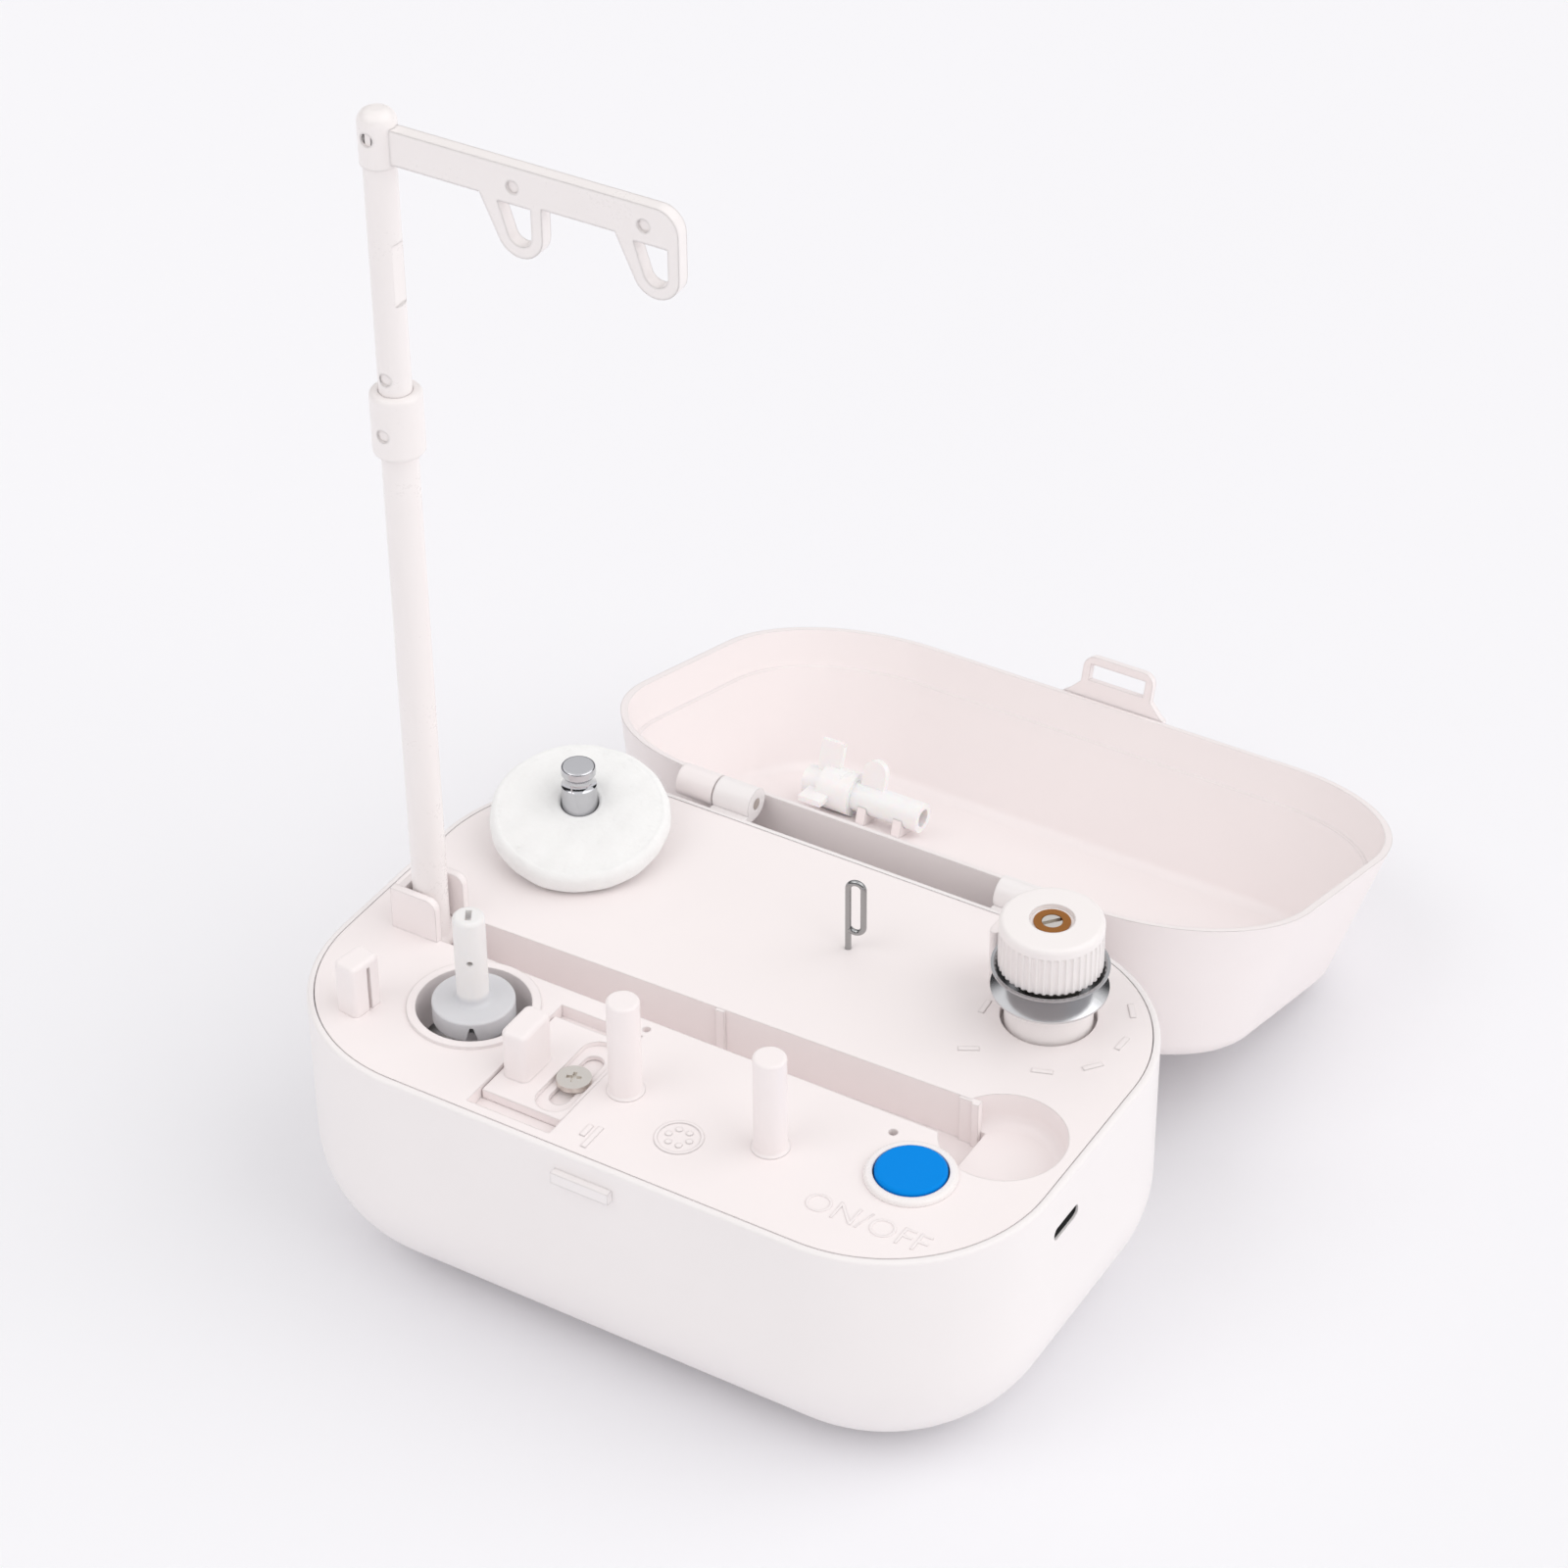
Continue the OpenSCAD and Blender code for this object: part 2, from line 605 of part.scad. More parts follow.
module deck() {
    color(deck_colour) difference() {
        union() {
            difference() {
                union() {
                    plate(case_length - 2 * (rim_lip + deck_gap), case_width - 2 * (rim_lip + deck_gap),
                        case_corner - rim_lip - deck_gap, seat_z, deck_z);
                    translate([0, 0, trench_z - tray_wall])
                        linear_extrude(trench_depth + tray_wall) trench_outline(tray_wall);
                    translate([pocket_x, pocket_y, 0]) rotate_extrude()
                        half_section(pocket_r + tray_wall, deck_z - pocket_depth - tray_wall, deck_z, 3, 0);
                    box(slider_left - tray_wall, slider_right + tray_wall, slider_near - tray_wall,
                        slider_far + tray_wall, slider_z - tray_wall, deck_z);
                    rod(spindle_x, spindle_y, deck_z - 9, deck_z + 0.5, well_r + 1.6);
                    rod(spool_x, spool_y, seat_z - 6, deck_z + boss_rise, boss_r);
                    rod(wire_x, wire_y, seat_z - 4, deck_z, 2.6);
                    rod(stop_x, stop_y, slider_z - 7, slider_z, 3.2);
                    for (s = screw_spots) rod(s[0], s[1], shell_post_top, seat_z + 0.5, 3.5);
                }
                translate([0, 0, trench_z]) linear_extrude(trench_depth + 1) trench_outline(0);
                translate([pocket_x, pocket_y, 0]) rotate_extrude()
                    half_section(pocket_r, deck_z - pocket_depth, deck_z + 1, 2.4, 0);
                box(slider_left, slider_right, slider_near, slider_far, slider_z, deck_z + 1);
            }
            for (s = [0, 1]) translate([0, mast_y, 0]) mirror([0, s, 0])
                translate([0, cheek_out, 0]) rotate([90, 0, 0]) linear_extrude(cheek_out - cheek_in) {
                    translate([trench_start - 1.4, trench_z - 0.2])
                        square([cheek_end - trench_start + 1.4, deck_z - trench_z + 6.7]);
                    translate([trench_start - 1.4, trench_z - 0.2])
                        square([cheek_end - 1.9 - trench_start + 1.4, deck_z - trench_z + 8.6]);
                    translate([cheek_end - 1.9, deck_z + 6.5]) circle(1.9);
                }
            box(trench_start - 1.4, trench_start, mast_y - cheek_out, mast_y + cheek_out,
                trench_z - 0.2, deck_z + 7.4);
            for (w = [[-1, 1.8, 0.6], [trench_end - 3, 3.6, 0.5], [trench_end - 1.6, 1.4, 1]])
                translate([w[0], trench_back_left + (w[0] - mast_x - 5) * trench_slope, trench_z - 0.2])
                    rotate([0, 0, atan(trench_slope)]) translate([-w[1] / 2, -w[2], 0])
                        cube([w[1], w[2] + 0.5, trench_depth + 0.1]);
            for (w = tick_spots) tick(tension_x + w[0], tension_y + w[1], w[2], 3.6);
            tick(peg_1_x + 1.7, slider_near + 2.7, 90, 5.6);
            tick(peg_1_x, slider_near + 3.7, 90, 3);
            difference() {
                rod(emblem_x, emblem_y, deck_z - 0.5, deck_z + mark_rise, 4.2);
                rod(emblem_x, emblem_y, deck_z - 1, deck_z + 1, 3.6);
            }
            for (a = [0:60:300]) rod(emblem_x + 2 * cos(a), emblem_y + 2 * sin(a), deck_z - 0.5,
                deck_z + mark_rise, 0.6);
        }
        rod(spindle_x, spindle_y, deck_z - 10, deck_z + 1, well_r);
        rod(tension_x, tension_y, seat_z - 1, deck_z + 1, tension_post_r + tension_gap);
        rod(spool_x, spool_y, seat_z - 4.5, deck_z + boss_rise + 1, 2);
        rod(wire_x, wire_y, seat_z - 2.5, deck_z + 1, wire_r);
        rod(button_x, button_y, clip_low - button_travel - 1, deck_z + 1, button_hole_r);
        rod(led_x, led_y, seat_z - 1, deck_z + 1, 0.8);
        rod(stop_x, stop_y, slider_z - 6, slider_z + 1, stop_r);
        rod(slider_right - 0.4, slider_far + 1.8, deck_z - 1.2, deck_z + 1, 0.7);
        for (s = screw_spots) rod(s[0], s[1], shell_post_top - 1, shell_post_top + 10.5, screw_r);
        bar_y(mast_x, mast_y - cheek_out - 1, mast_y + cheek_out + 1, pivot_z, pivot_r);
    }
}

// Outline of the latch tab, in X and Z below the lid's rim, with its window.
module latch_outline() {
    difference() {
        union() {
            polygon([[-latch_half, 5], [-latch_half, 0], [-latch_half + 1, -0.6], [-latch_end_half, -3],
                [-latch_end_half, 2.4 - latch_reach], [2.4 - latch_end_half, -latch_reach],
                [latch_end_half - 2.4, -latch_reach], [latch_end_half, 2.4 - latch_reach],
                [latch_end_half, -3], [latch_half - 1, -0.6], [latch_half, 0], [latch_half, 5]]);
            for (s = [-1, 1]) translate([s * (latch_end_half - 2.4), 2.4 - latch_reach]) circle(2.4);
        }
        translate([0, -latch_bar_drop - lid_gap]) square([2 * latch_bar_half + 0.8,
            latch_bar_height + 1.2], center = true);
    }
}

module lid() {
    color(lid_colour) opened_lid() difference() {
        union() {
            difference() {
                tub(case_length, case_width, case_corner, lid_z, lid_top, 0, lid_round, lid_slope);
                lid_room(lid_wall, panel_z, lid_round - 1.6);
                lid_room(lid_lip, lid_z + lid_lip_height, 0);
            }
            knuckle_pair(knuckle_in + knuckle_length + knuckle_gap);
            for (s = [0, 1]) mirror([s, 0, 0])
                box(knuckle_in + knuckle_length + knuckle_gap, knuckle_in + 2 * knuckle_length + knuckle_gap,
                    case_width / 2 - lug_foot - 0.25, hinge_y, lid_z + 0.1, hinge_z + knuckle_r);
            translate([0, -case_width / 2 - 0.3, lid_z]) rotate([90, 0, 0])
                linear_extrude(latch_thick) latch_outline();
            box(-latch_half, latch_half, -case_width / 2 - 0.4, -case_width / 2 + 0.6, lid_z + 1, lid_z + 5);
            for (x = [adapter_x0 + 13, adapter_x0 + 21])
                difference() {
                    box(x, x + 2, adapter_y - adapter_tube_r, adapter_y + adapter_tube_r,
                        adapter_z + 0.8, panel_z + 0.5);
                    bar_x(x - 1, x + 3, adapter_y, adapter_z, adapter_tube_r + run_gap);
                }
        }
        knuckle_bores(hinge_pin_r + run_gap);
    }
}

// A tube with a collar, three fins that centre a spool and a rounded finger tab.
module spool_adapter() {
    color(clear_colour) opened_lid() translate([adapter_x0, adapter_y, adapter_z]) difference() {
        union() {
            bar_x(0, adapter_length, 0, 0, adapter_tube_r);
            bar_x(4, 11, 0, 0, adapter_r);
            for (a = [80, 180, 280]) rotate([a, 0, 0]) translate([2, -0.6, 2])
                cube([5, 1.2, a == 180 ? 7.5 : 5.5]);
            translate([0, 0.8, 0]) rotate([90, 0, 0]) linear_extrude(1.6) {
                translate([12, -6]) square([5, 4]);
                translate([14.5, -6]) circle(2.5);
            }
        }
        bar_x(-1, adapter_length + 1, 0, 0, adapter_tube_r - 1.2);
    }
}

module mast_pivot_pin() {
    color(steel_colour) bar_y(mast_x, mast_y - cheek_out, mast_y + cheek_out, pivot_z, pivot_r);
}

module mast_tube() {
    color(mast_colour) difference() {
        union() {
            rod(mast_x, mast_y, pivot_z, collar_z + tube_seat, mast_r);
            bar_y(mast_x, mast_y - pivot_half, mast_y + pivot_half, pivot_z, foot_r);
        }
        bar_y(mast_x, mast_y - pivot_half - 1, mast_y + pivot_half + 1, pivot_z, pivot_r + run_gap);
        rod(mast_x, mast_y, pivot_z + 8, collar_z + tube_seat + 1, mast_r - 1.2);
    }
}

// A shallow round dimple on the near side of something at the mast.
module dimple(x, z, y) {
    bar_y(x, y - 1, y + 0.5, z, 1.1);
}

module mast_collar() {
    color(mast_colour) difference() {
        translate([mast_x, mast_y, 0]) rotate_extrude()
            half_section(collar_r, collar_z, collar_z + collar_length, 0.5, 0.8);
        rod(mast_x, mast_y, collar_z - 1, collar_z + tube_seat, mast_r);
        rod(mast_x, mast_y, collar_z + tube_seat - 0.5, collar_z + collar_length + 1, rod_r + run_gap);
        dimple(mast_x, collar_z + 4.7, mast_y - collar_r);
    }
}

module guide_rod() {
    color(mast_colour) difference() {
        rod(mast_x, mast_y, rod_low, guide_top - 2, rod_r);
        box(mast_x + rod_r - 0.5, mast_x + rod_r + 1, mast_y - 3, mast_y + 3,
            guide_top - 34, guide_top - 23);
        dimple(mast_x, collar_z + collar_length + 3, mast_y - rod_r);
    }
}

// A loop below the arm: a slanting limb, a round end and an upright limb.
module loop_shape(centre, r, top) {
    translate([centre, arm_z - loop_drop]) circle(r);
    polygon([[centre - r * 1.76, top], [centre - r * 0.93, arm_z - loop_drop - r * 0.37],
        [centre, arm_z - loop_drop], [centre + r, arm_z - loop_drop], [centre + r, top]]);
}

module guide_arm() {
    color(mast_colour) difference() {
        union() {
            translate([mast_x, mast_y, 0]) rotate_extrude()
                half_section(rod_r + hub_wall, arm_z - 0.8, guide_top, 0.2, 2.2);
            translate([mast_x, mast_y + arm_thick / 2, 0]) rotate([90, 0, 0]) linear_extrude(arm_thick)
                difference() {
                    union() {
                        translate([0, arm_z]) square([arm_length - 4, arm_height]);
                        translate([0, arm_z]) square([arm_length, arm_height - 4]);
                        translate([arm_length - 4, arm_z + arm_height - 4]) circle(4);
                        loop_shape(loop_1, loop_r, arm_z + 0.5);
                        loop_shape(loop_2, loop_r, arm_z + 0.5);
                    }
                    loop_shape(loop_1, loop_hole_r, arm_z - 0.6);
                    loop_shape(loop_2, loop_hole_r, arm_z - 0.6);
                }
        }
        rod(mast_x, mast_y, arm_z - 2, guide_top - 2, rod_r);
        dimple(mast_x, arm_z + 4.4, mast_y - rod_r - hub_wall);
        for (s = [loop_1 - 1, loop_2 - 2]) dimple(mast_x + s, arm_z + 2.4, mast_y - arm_thick / 2);
    }
}

module bobbin_spindle() {
    top = deck_z + spindle_height;
    color(nylon_colour) difference() {
        translate([spindle_x, spindle_y, 0]) rotate_extrude() {
            half_section(spindle_r, deck_z - 1, top, 0, 0.8);
            half_section(spindle_flange_r, flange_low, flange_top, 0.3, 0.4);
            half_section(spindle_r + 1.4, belt_z + pulley_half + 0.8, deck_z, 0, 0);
            difference() {
                translate([spindle_r - 0.3, flange_top - 0.3]) square([1.3, 1.3]);
                translate([spindle_r + 1, flange_top + 1]) circle(1);
            }
        }
        rod(spindle_x, spindle_y, belt_z, top - 6, shaft_r);
        translate([spindle_x, spindle_y, top]) rotate([0, 0, 120]) cube([2.6, 1, 3], center = true);
        translate([spindle_x, spindle_y, deck_z + 11.4]) rotate([90, 0, 31])
            cylinder(h = spindle_r + 1, r = 0.5);
        translate([spindle_x, spindle_y, flange_low - 0.5]) rotate([90, 0, 31])
            linear_extrude(spindle_flange_r + 1) polygon([[-1.2, 0], [1.2, 0], [0.3, 3.4], [-0.3, 3.4]]);
    }
}

module spindle_shaft() {
    color(steel_colour) rod(spindle_x, spindle_y, shaft_low + 0.3, deck_z + spindle_height - 6.5, shaft_r);
}

// A pulley with an open groove for the round belt.
module pulley(x, y, run_r, bore, hub_low) {
    translate([x, y, 0]) difference() {
        union() {
            rod(0, 0, belt_z - pulley_half, belt_z + pulley_half, run_r + 0.8);
            rod(0, 0, hub_low, belt_z + pulley_half + 0.8, bore + 2);
        }
        translate([0, 0, belt_z]) rotate_extrude() translate([run_r, 0]) {
            circle(belt_r + belt_gap);
            translate([0, -belt_r - belt_gap * 0.6]) square([4, 2 * (belt_r + belt_gap * 0.6)]);
        }
        rod(0, 0, hub_low - 1, deck_z, bore);
    }
}

module spindle_pulley() {
    color(nylon_colour) pulley(spindle_x, spindle_y, spindle_belt_r, shaft_r, column_top + slide_gap);
}

module spindle_bushes() {
    color(brass_colour) for (z = [shaft_low, column_top - bush_length]) difference() {
        rod(spindle_x, spindle_y, z, z + bush_length, bush_r);
        rod(spindle_x, spindle_y, z - 1, z + bush_length + 1, shaft_r + run_gap);
    }
}

// The round belt: an arc on each pulley and two straight runs.
module drive_belt() {
    color(rubber_colour) {
        translate([spindle_x, spindle_y, belt_z]) rotate([0, 0, belt_lean])
            rotate_extrude(angle = 360 - 2 * belt_lean) translate([spindle_belt_r, 0]) circle(belt_r);
        translate([motor_x, motor_y, belt_z]) rotate([0, 0, -belt_lean])
            rotate_extrude(angle = 2 * belt_lean) translate([motor_belt_r, 0]) circle(belt_r);
        for (s = [-1, 1]) translate([spindle_x, spindle_y, belt_z]) rotate([0, 0, s * belt_lean])
            translate([spindle_belt_r, 0, 0]) rotate([s * 90, 0, 0]) cylinder(h = belt_straight, r = belt_r);
    }
}

module motor() {
    color(steel_colour) difference() {
        union() {
            rod(motor_x, motor_y, motor_low, motor_top, motor_r);
            rod(motor_x, motor_y, motor_top - 1, motor_top + motor_boss, motor_boss_r);
        }
        rod(motor_x, motor_y, motor_top - 20, motor_top + motor_boss + 1, motor_shaft_r + run_gap);
    }
}

module motor_bracket() {
    color(steel_colour) translate([0, 0, motor_top]) linear_extrude(bracket_t) difference() {
        union() {
            translate([motor_x, motor_y]) square([2 * bracket_arm, bracket_wide], center = true);
            for (s = [-1, 1]) translate([motor_x + s * bracket_arm, motor_y]) circle(4);
        }
        translate([motor_x, motor_y]) circle(motor_boss_r + 0.1);
        for (s = [-1, 1]) translate([motor_x + s * bracket_arm, motor_y]) circle(small_screw_r + 0.2);
    }
}

module small_screw(x, y, z) {
    rod(x, y, z, z + 1.4, 2.1);
    rod(x, y, z - 8, z, small_screw_r);
}

module motor_screws() {
    color(steel_colour) for (s = [-1, 1])
        small_screw(motor_x + s * bracket_arm, motor_y, motor_top + bracket_t);
}

module motor_shaft() {
    color(steel_colour) rod(motor_x, motor_y, motor_top - 19, belt_z + pulley_half + 2, motor_shaft_r);
}

module motor_pulley() {
    color(nylon_colour) pulley(motor_x, motor_y, motor_belt_r, motor_shaft_r,
        motor_top + motor_boss + slide_gap);
}

module circuit_board() {
    color(board_colour) difference() {
        box(board_left, board_right, board_near, board_far, board_z, board_top);
        for (s = board_spots) rod(s[0], s[1], board_z - 1, board_top + 1, small_screw_r + 0.2);
    }
}

module board_screws() {
    color(steel_colour) for (s = board_spots) small_screw(s[0], s[1], board_top);
}

// Outline of the charging socket, grown by a margin.
module usb_outline(grow) {
    square([usb_w + 2 * grow - 2 * usb_r, usb_h + 2 * grow], center = true);
    for (s = [-1, 1]) translate([s * (usb_w / 2 - usb_r), 0]) {
        square([2 * (usb_r + grow), 2 * grow + 0.2], center = true);
        for (t = [-1, 1]) translate([0, t * (usb_h / 2 - usb_r)]) circle(usb_r + grow);
    }
}

module usb_socket() {
    color(steel_colour) translate([case_length / 2 - case_wall - 0.1 - usb_d, usb_y, board_top + usb_h / 2])
        rotate([90, 0, 90]) {
            difference() {
                linear_extrude(usb_d) usb_outline(0);
                translate([0, 0, 1]) linear_extrude(usb_d) usb_outline(-usb_shell);
            }
            linear_extrude(usb_d - 1.2) square([6.2, 0.7], center = true);
        }
}

module push_switch() {
    color(dark_colour) {
        box(button_x - 3, button_x + 3, button_y - 3, button_y + 3, board_top, board_top + 3.4);
        rod(button_x, button_y, board_top + 3, switch_top, 1.7);
    }
}

module power_led() {
    color([0.85, 0.95, 0.88]) {
        rod(led_x, led_y, board_top, seat_z - 1.8, 1.2);
        translate([led_x, led_y, seat_z - 1.8]) sphere(1.2);
    }
}

module button() {
    color(blue_colour) translate([button_x, button_y, 0]) {
        rotate_extrude() {
            half_section(button_r - slide_gap * 0.5, clip_low, deck_z + bezel_stand + 0.6, 0, 0.6);
            half_section(2.4, stem_low, clip_low + 0.5, 0.3, 0);
        }
        intersection() {
            rod(0, 0, clip_low, clip_low + clip_height, clip_r);
            rotate([0, 0, clip_turn]) translate([0, 0, clip_low]) cube([4 * clip_r, 3, 6], center = true);
        }
    }
}

module button_bezel() {
    color([0.95, 0.95, 0.95]) translate([button_x, button_y, 0]) difference() {
        rotate_extrude() half_section(bezel_r, deck_z, deck_z + bezel_stand, 0, 0.7);
        rod(0, 0, deck_z - 1, deck_z + bezel_stand + 1, button_r + slide_gap * 0.5);
    }
}

module stop_slider() {
    plate_low = slider_z + 0.1;
    plate_top = plate_low + plate_t;
    color(deck_colour) difference() {
        union() {
            box(slider_left + slide_gap, slider_right - slide_gap, plate_near, plate_far, plate_low, plate_top);
            translate([slider_left + slide_gap + 3.3, -30.3, 0])
                tub(5, 8.6, 1.3, plate_low, plate_low + tab_rise + 3.8, 0, 0.9);
        }
        for (w = [[stop_r + 0.3, slider_travel + 3, -1],
            [stop_head_r + 0.3, slider_travel + 4.4, plate_t - slot_sink]])
            translate([stop_x, stop_y + 0.8, plate_low + w[2]]) linear_extrude(plate_t + 1) {
                square([2 * w[0], 2 * w[1]], center = true);
                for (s = [-1, 1]) translate([0, s * w[1]]) circle(w[0]);
            }
    }
}

module stop_screw() {
    head_z = slider_z + 0.1 + plate_t - slot_sink + 0.3;
    color(steel_colour) difference() {
        union() {
            rod(stop_x, stop_y, slider_z - 5.5, head_z, stop_r);
            rod(stop_x, stop_y, head_z, head_z + 1, stop_head_r);
        }
        for (a = [20, 110]) translate([stop_x, stop_y, head_z + 1]) rotate([0, 0, a])
            cube([2.6, 0.7, 1.1], center = true);
    }
}

module cutter_blade() {
    color(steel_colour) at_cutter() translate([-0.4, slit_y - slit_wide / 2 + 0.05, 0])
        cube([cutter_wide / 2 - 0.8, slit_wide - 0.1, cutter_rise - 1.8]);
}

module spool_pin() {
    neck = deck_z + spool_height - 2.8;
    foot = deck_z + spool_foot;
    low = deck_z + boss_rise;
    color(chrome_colour) translate([spool_x, spool_y, 0]) difference() {
        rotate_extrude() {
            half_section(spool_r, foot, neck, 0, 0);
            half_section(spool_r, neck, deck_z + spool_height, 0, 0.45, 0.04);
            half_section(spool_r + 0.4, low, foot + 1, 0, 0, 0.4 / (foot + 1 - low));
            half_section(2, seat_z - 4, low + 1, 0.3, 0);
        }
        translate([0, 0, neck]) rotate_extrude() translate([spool_r + 1.1, 0]) circle(1.7);
    }
}

// The felt sits aslant on the pin: its near edge rests on the deck and its far edge stands up.
module spool_felt() {
    color(felt_colour) translate([spool_x, spool_y, deck_z + felt_r * sin(felt_lean) + 0.1])
        rotate([0, 0, felt_turn]) rotate([felt_lean, 0, 0]) difference() {
            rotate_extrude() half_section(felt_r, 0, felt_thickness, 0.4, 0.9);
            rod(0, 0, -1, felt_thickness + 1, felt_hole_r);
        }
}

// A hairpin of wire with a small eye where its free end comes back.
module wire_guide() {
    bend = 1.4;
    rise = 13.2;
    color(chrome_colour) translate([wire_x, wire_y, deck_z]) rotate([0, 0, 12]) {
        translate([0, 0, -4]) cylinder(h = rise + 4, r = wire_r);
        translate([bend, 0, rise]) rotate([90, 0, 0]) rotate_extrude(angle = 180)
            translate([bend, 0]) circle(wire_r);
        translate([2 * bend, 0, 5.2]) cylinder(h = rise - 5.2, r = wire_r);
        translate([bend, 0, 5.2]) rotate([90, 0, 0]) rotate([0, 0, -150]) rotate_extrude(angle = 150)
            translate([bend, 0]) circle(wire_r);
    }
}

module tension_post() {
    color(nylon_colour) translate([tension_x, tension_y, 0]) difference() {
        rotate_extrude() {
            half_section(tension_post_r, seat_z - 1, post_top, 0, 0.4);
            half_section(tension_post_r + 3.2, seat_z - 2.2, seat_z, 0.4, 0);
            half_section(disc_flat_r - 0.4, seat_z, disc_z, 0, 0);
        }
        rod(0, 0, seat_z - 4, disc_z + 1, stud_r);
    }
}

module tension_stud() {
    color(steel_colour) difference() {
        rod(tension_x, tension_y, seat_z - 2.2, knob_top - 0.6, stud_r);
        translate([tension_x, tension_y, knob_top - 0.6]) rotate([0, 0, 50]) cube([6, 0.8, 2], center = true);
    }
}

// A dished disc with a flat middle and a rim that flares to one side.
module tension_disc(z, way) {
    color(chrome_colour) translate([tension_x, tension_y, z]) mirror([0, 0, way]) rotate_extrude()
        polygon([[stud_r + run_gap, 0], [disc_flat_r, 0], [disc_r - 0.5, -disc_flare + 0.2],
            [disc_r, -disc_flare + 0.2], [disc_r, -disc_flare + 0.6], [disc_flat_r + 0.3, disc_t],
            [stud_r + run_gap, disc_t]]);
}

module tension_disc_lower() {
    tension_disc(disc_z, 0);
}

module tension_disc_upper() {
    tension_disc(disc_z + 2 * disc_t + disc_gap, 1);
}

// The pressure spring under the knob, as a stack of close coils.
module tension_spring() {
    coils = 9;
    low = disc_z + 2 * disc_t + disc_gap;
    pitch = (knob_z + knob_room - slide_gap - low - 2 * spring_wire) / (coils - 1);
    color(steel_colour) translate([tension_x, tension_y, low + spring_wire]) for (n = [0:coils - 1])
        translate([0, 0, n * pitch]) rotate_extrude() translate([spring_r, 0]) circle(spring_wire);
}

module tension_knob() {
    color(nylon_colour) translate([tension_x, tension_y, 0]) difference() {
        union() {
            translate([0, 0, knob_z]) linear_extrude(knob_height - 1.6) difference() {
                circle(knob_r);
                for (n = [0:knob_flutes - 1]) rotate([0, 0, n * 360 / knob_flutes])
                    translate([knob_r + 0.12, 0]) circle(0.42);
            }
            rotate_extrude() half_section(knob_r, knob_top - 2, knob_top, 0, 0.9);
        }
        rod(0, 0, knob_z - 1, knob_z + knob_room, spring_r + spring_wire + 1.2);
        rod(0, 0, knob_z + 5, knob_top + 1, nut_r);
        rod(0, 0, knob_top - 0.8, knob_top + 1, nut_r + 0.7);
    }
}

module knob_nut() {
    color(brass_colour) difference() {
        rod(tension_x, tension_y, knob_z + knob_room, knob_top - 0.5, nut_r);
        rod(tension_x, tension_y, knob_z + 5, knob_top + 1, stud_r + run_gap);
    }
}

base_shell();
rubber_pad();
case_screws();
hinge_pins();
deck();
thread_pegs();
thread_fin();
cutter_block();
lid();
spool_adapter();
mast_pivot_pin();
mast_tube();
mast_collar();
guide_rod();
guide_arm();
bobbin_spindle();
spindle_shaft();
spindle_pulley();
spindle_bushes();
drive_belt();
motor();
motor_bracket();
motor_screws();
motor_shaft();
motor_pulley();
circuit_board();
board_screws();
usb_socket();
push_switch();
power_led();
button();
button_bezel();
stop_slider();
stop_screw();
cutter_blade();
spool_pin();
spool_felt();
wire_guide();
tension_post();
tension_stud();
tension_disc_lower();
tension_disc_upper();
tension_spring();
tension_knob();
knob_nut();
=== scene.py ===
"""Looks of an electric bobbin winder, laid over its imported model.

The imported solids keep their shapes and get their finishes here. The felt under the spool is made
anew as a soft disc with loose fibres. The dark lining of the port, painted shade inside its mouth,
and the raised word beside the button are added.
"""

import json
import math

import bpy
import numpy as np
from mathutils import Matrix, Vector


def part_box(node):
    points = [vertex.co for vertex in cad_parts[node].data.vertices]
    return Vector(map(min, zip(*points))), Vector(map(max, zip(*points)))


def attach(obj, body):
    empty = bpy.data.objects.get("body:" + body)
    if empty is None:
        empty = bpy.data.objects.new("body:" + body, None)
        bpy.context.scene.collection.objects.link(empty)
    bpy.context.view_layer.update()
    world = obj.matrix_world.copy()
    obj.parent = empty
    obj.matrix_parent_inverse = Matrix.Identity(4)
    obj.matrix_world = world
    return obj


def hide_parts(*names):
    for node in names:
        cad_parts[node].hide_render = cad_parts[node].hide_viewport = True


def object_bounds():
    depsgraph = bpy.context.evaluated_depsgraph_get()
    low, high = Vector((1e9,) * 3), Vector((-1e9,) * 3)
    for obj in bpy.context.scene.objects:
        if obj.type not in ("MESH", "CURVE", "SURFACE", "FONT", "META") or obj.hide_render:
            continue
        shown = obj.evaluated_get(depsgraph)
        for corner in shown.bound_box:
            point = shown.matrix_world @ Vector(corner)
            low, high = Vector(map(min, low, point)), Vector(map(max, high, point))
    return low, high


bl_info = {
    "name": "Bobbin winder looks",
    "version": (1, 0, 0),
    "blender": (4, 5, 0),
    "location": "View3D > Sidebar > Winder",
    "description": "Finishes, felt, lettering and studio of an electric bobbin winder",
    "category": "Object",
}

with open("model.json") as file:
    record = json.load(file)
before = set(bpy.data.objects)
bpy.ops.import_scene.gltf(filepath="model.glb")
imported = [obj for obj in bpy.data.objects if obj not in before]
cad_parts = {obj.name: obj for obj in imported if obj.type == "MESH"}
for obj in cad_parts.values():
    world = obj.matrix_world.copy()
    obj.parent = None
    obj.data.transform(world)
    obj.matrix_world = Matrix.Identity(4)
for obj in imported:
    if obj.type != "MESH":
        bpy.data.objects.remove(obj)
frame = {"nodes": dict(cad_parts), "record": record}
CAD_LOW, CAD_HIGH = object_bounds()
NODES = frame["nodes"]
MM = 0.001

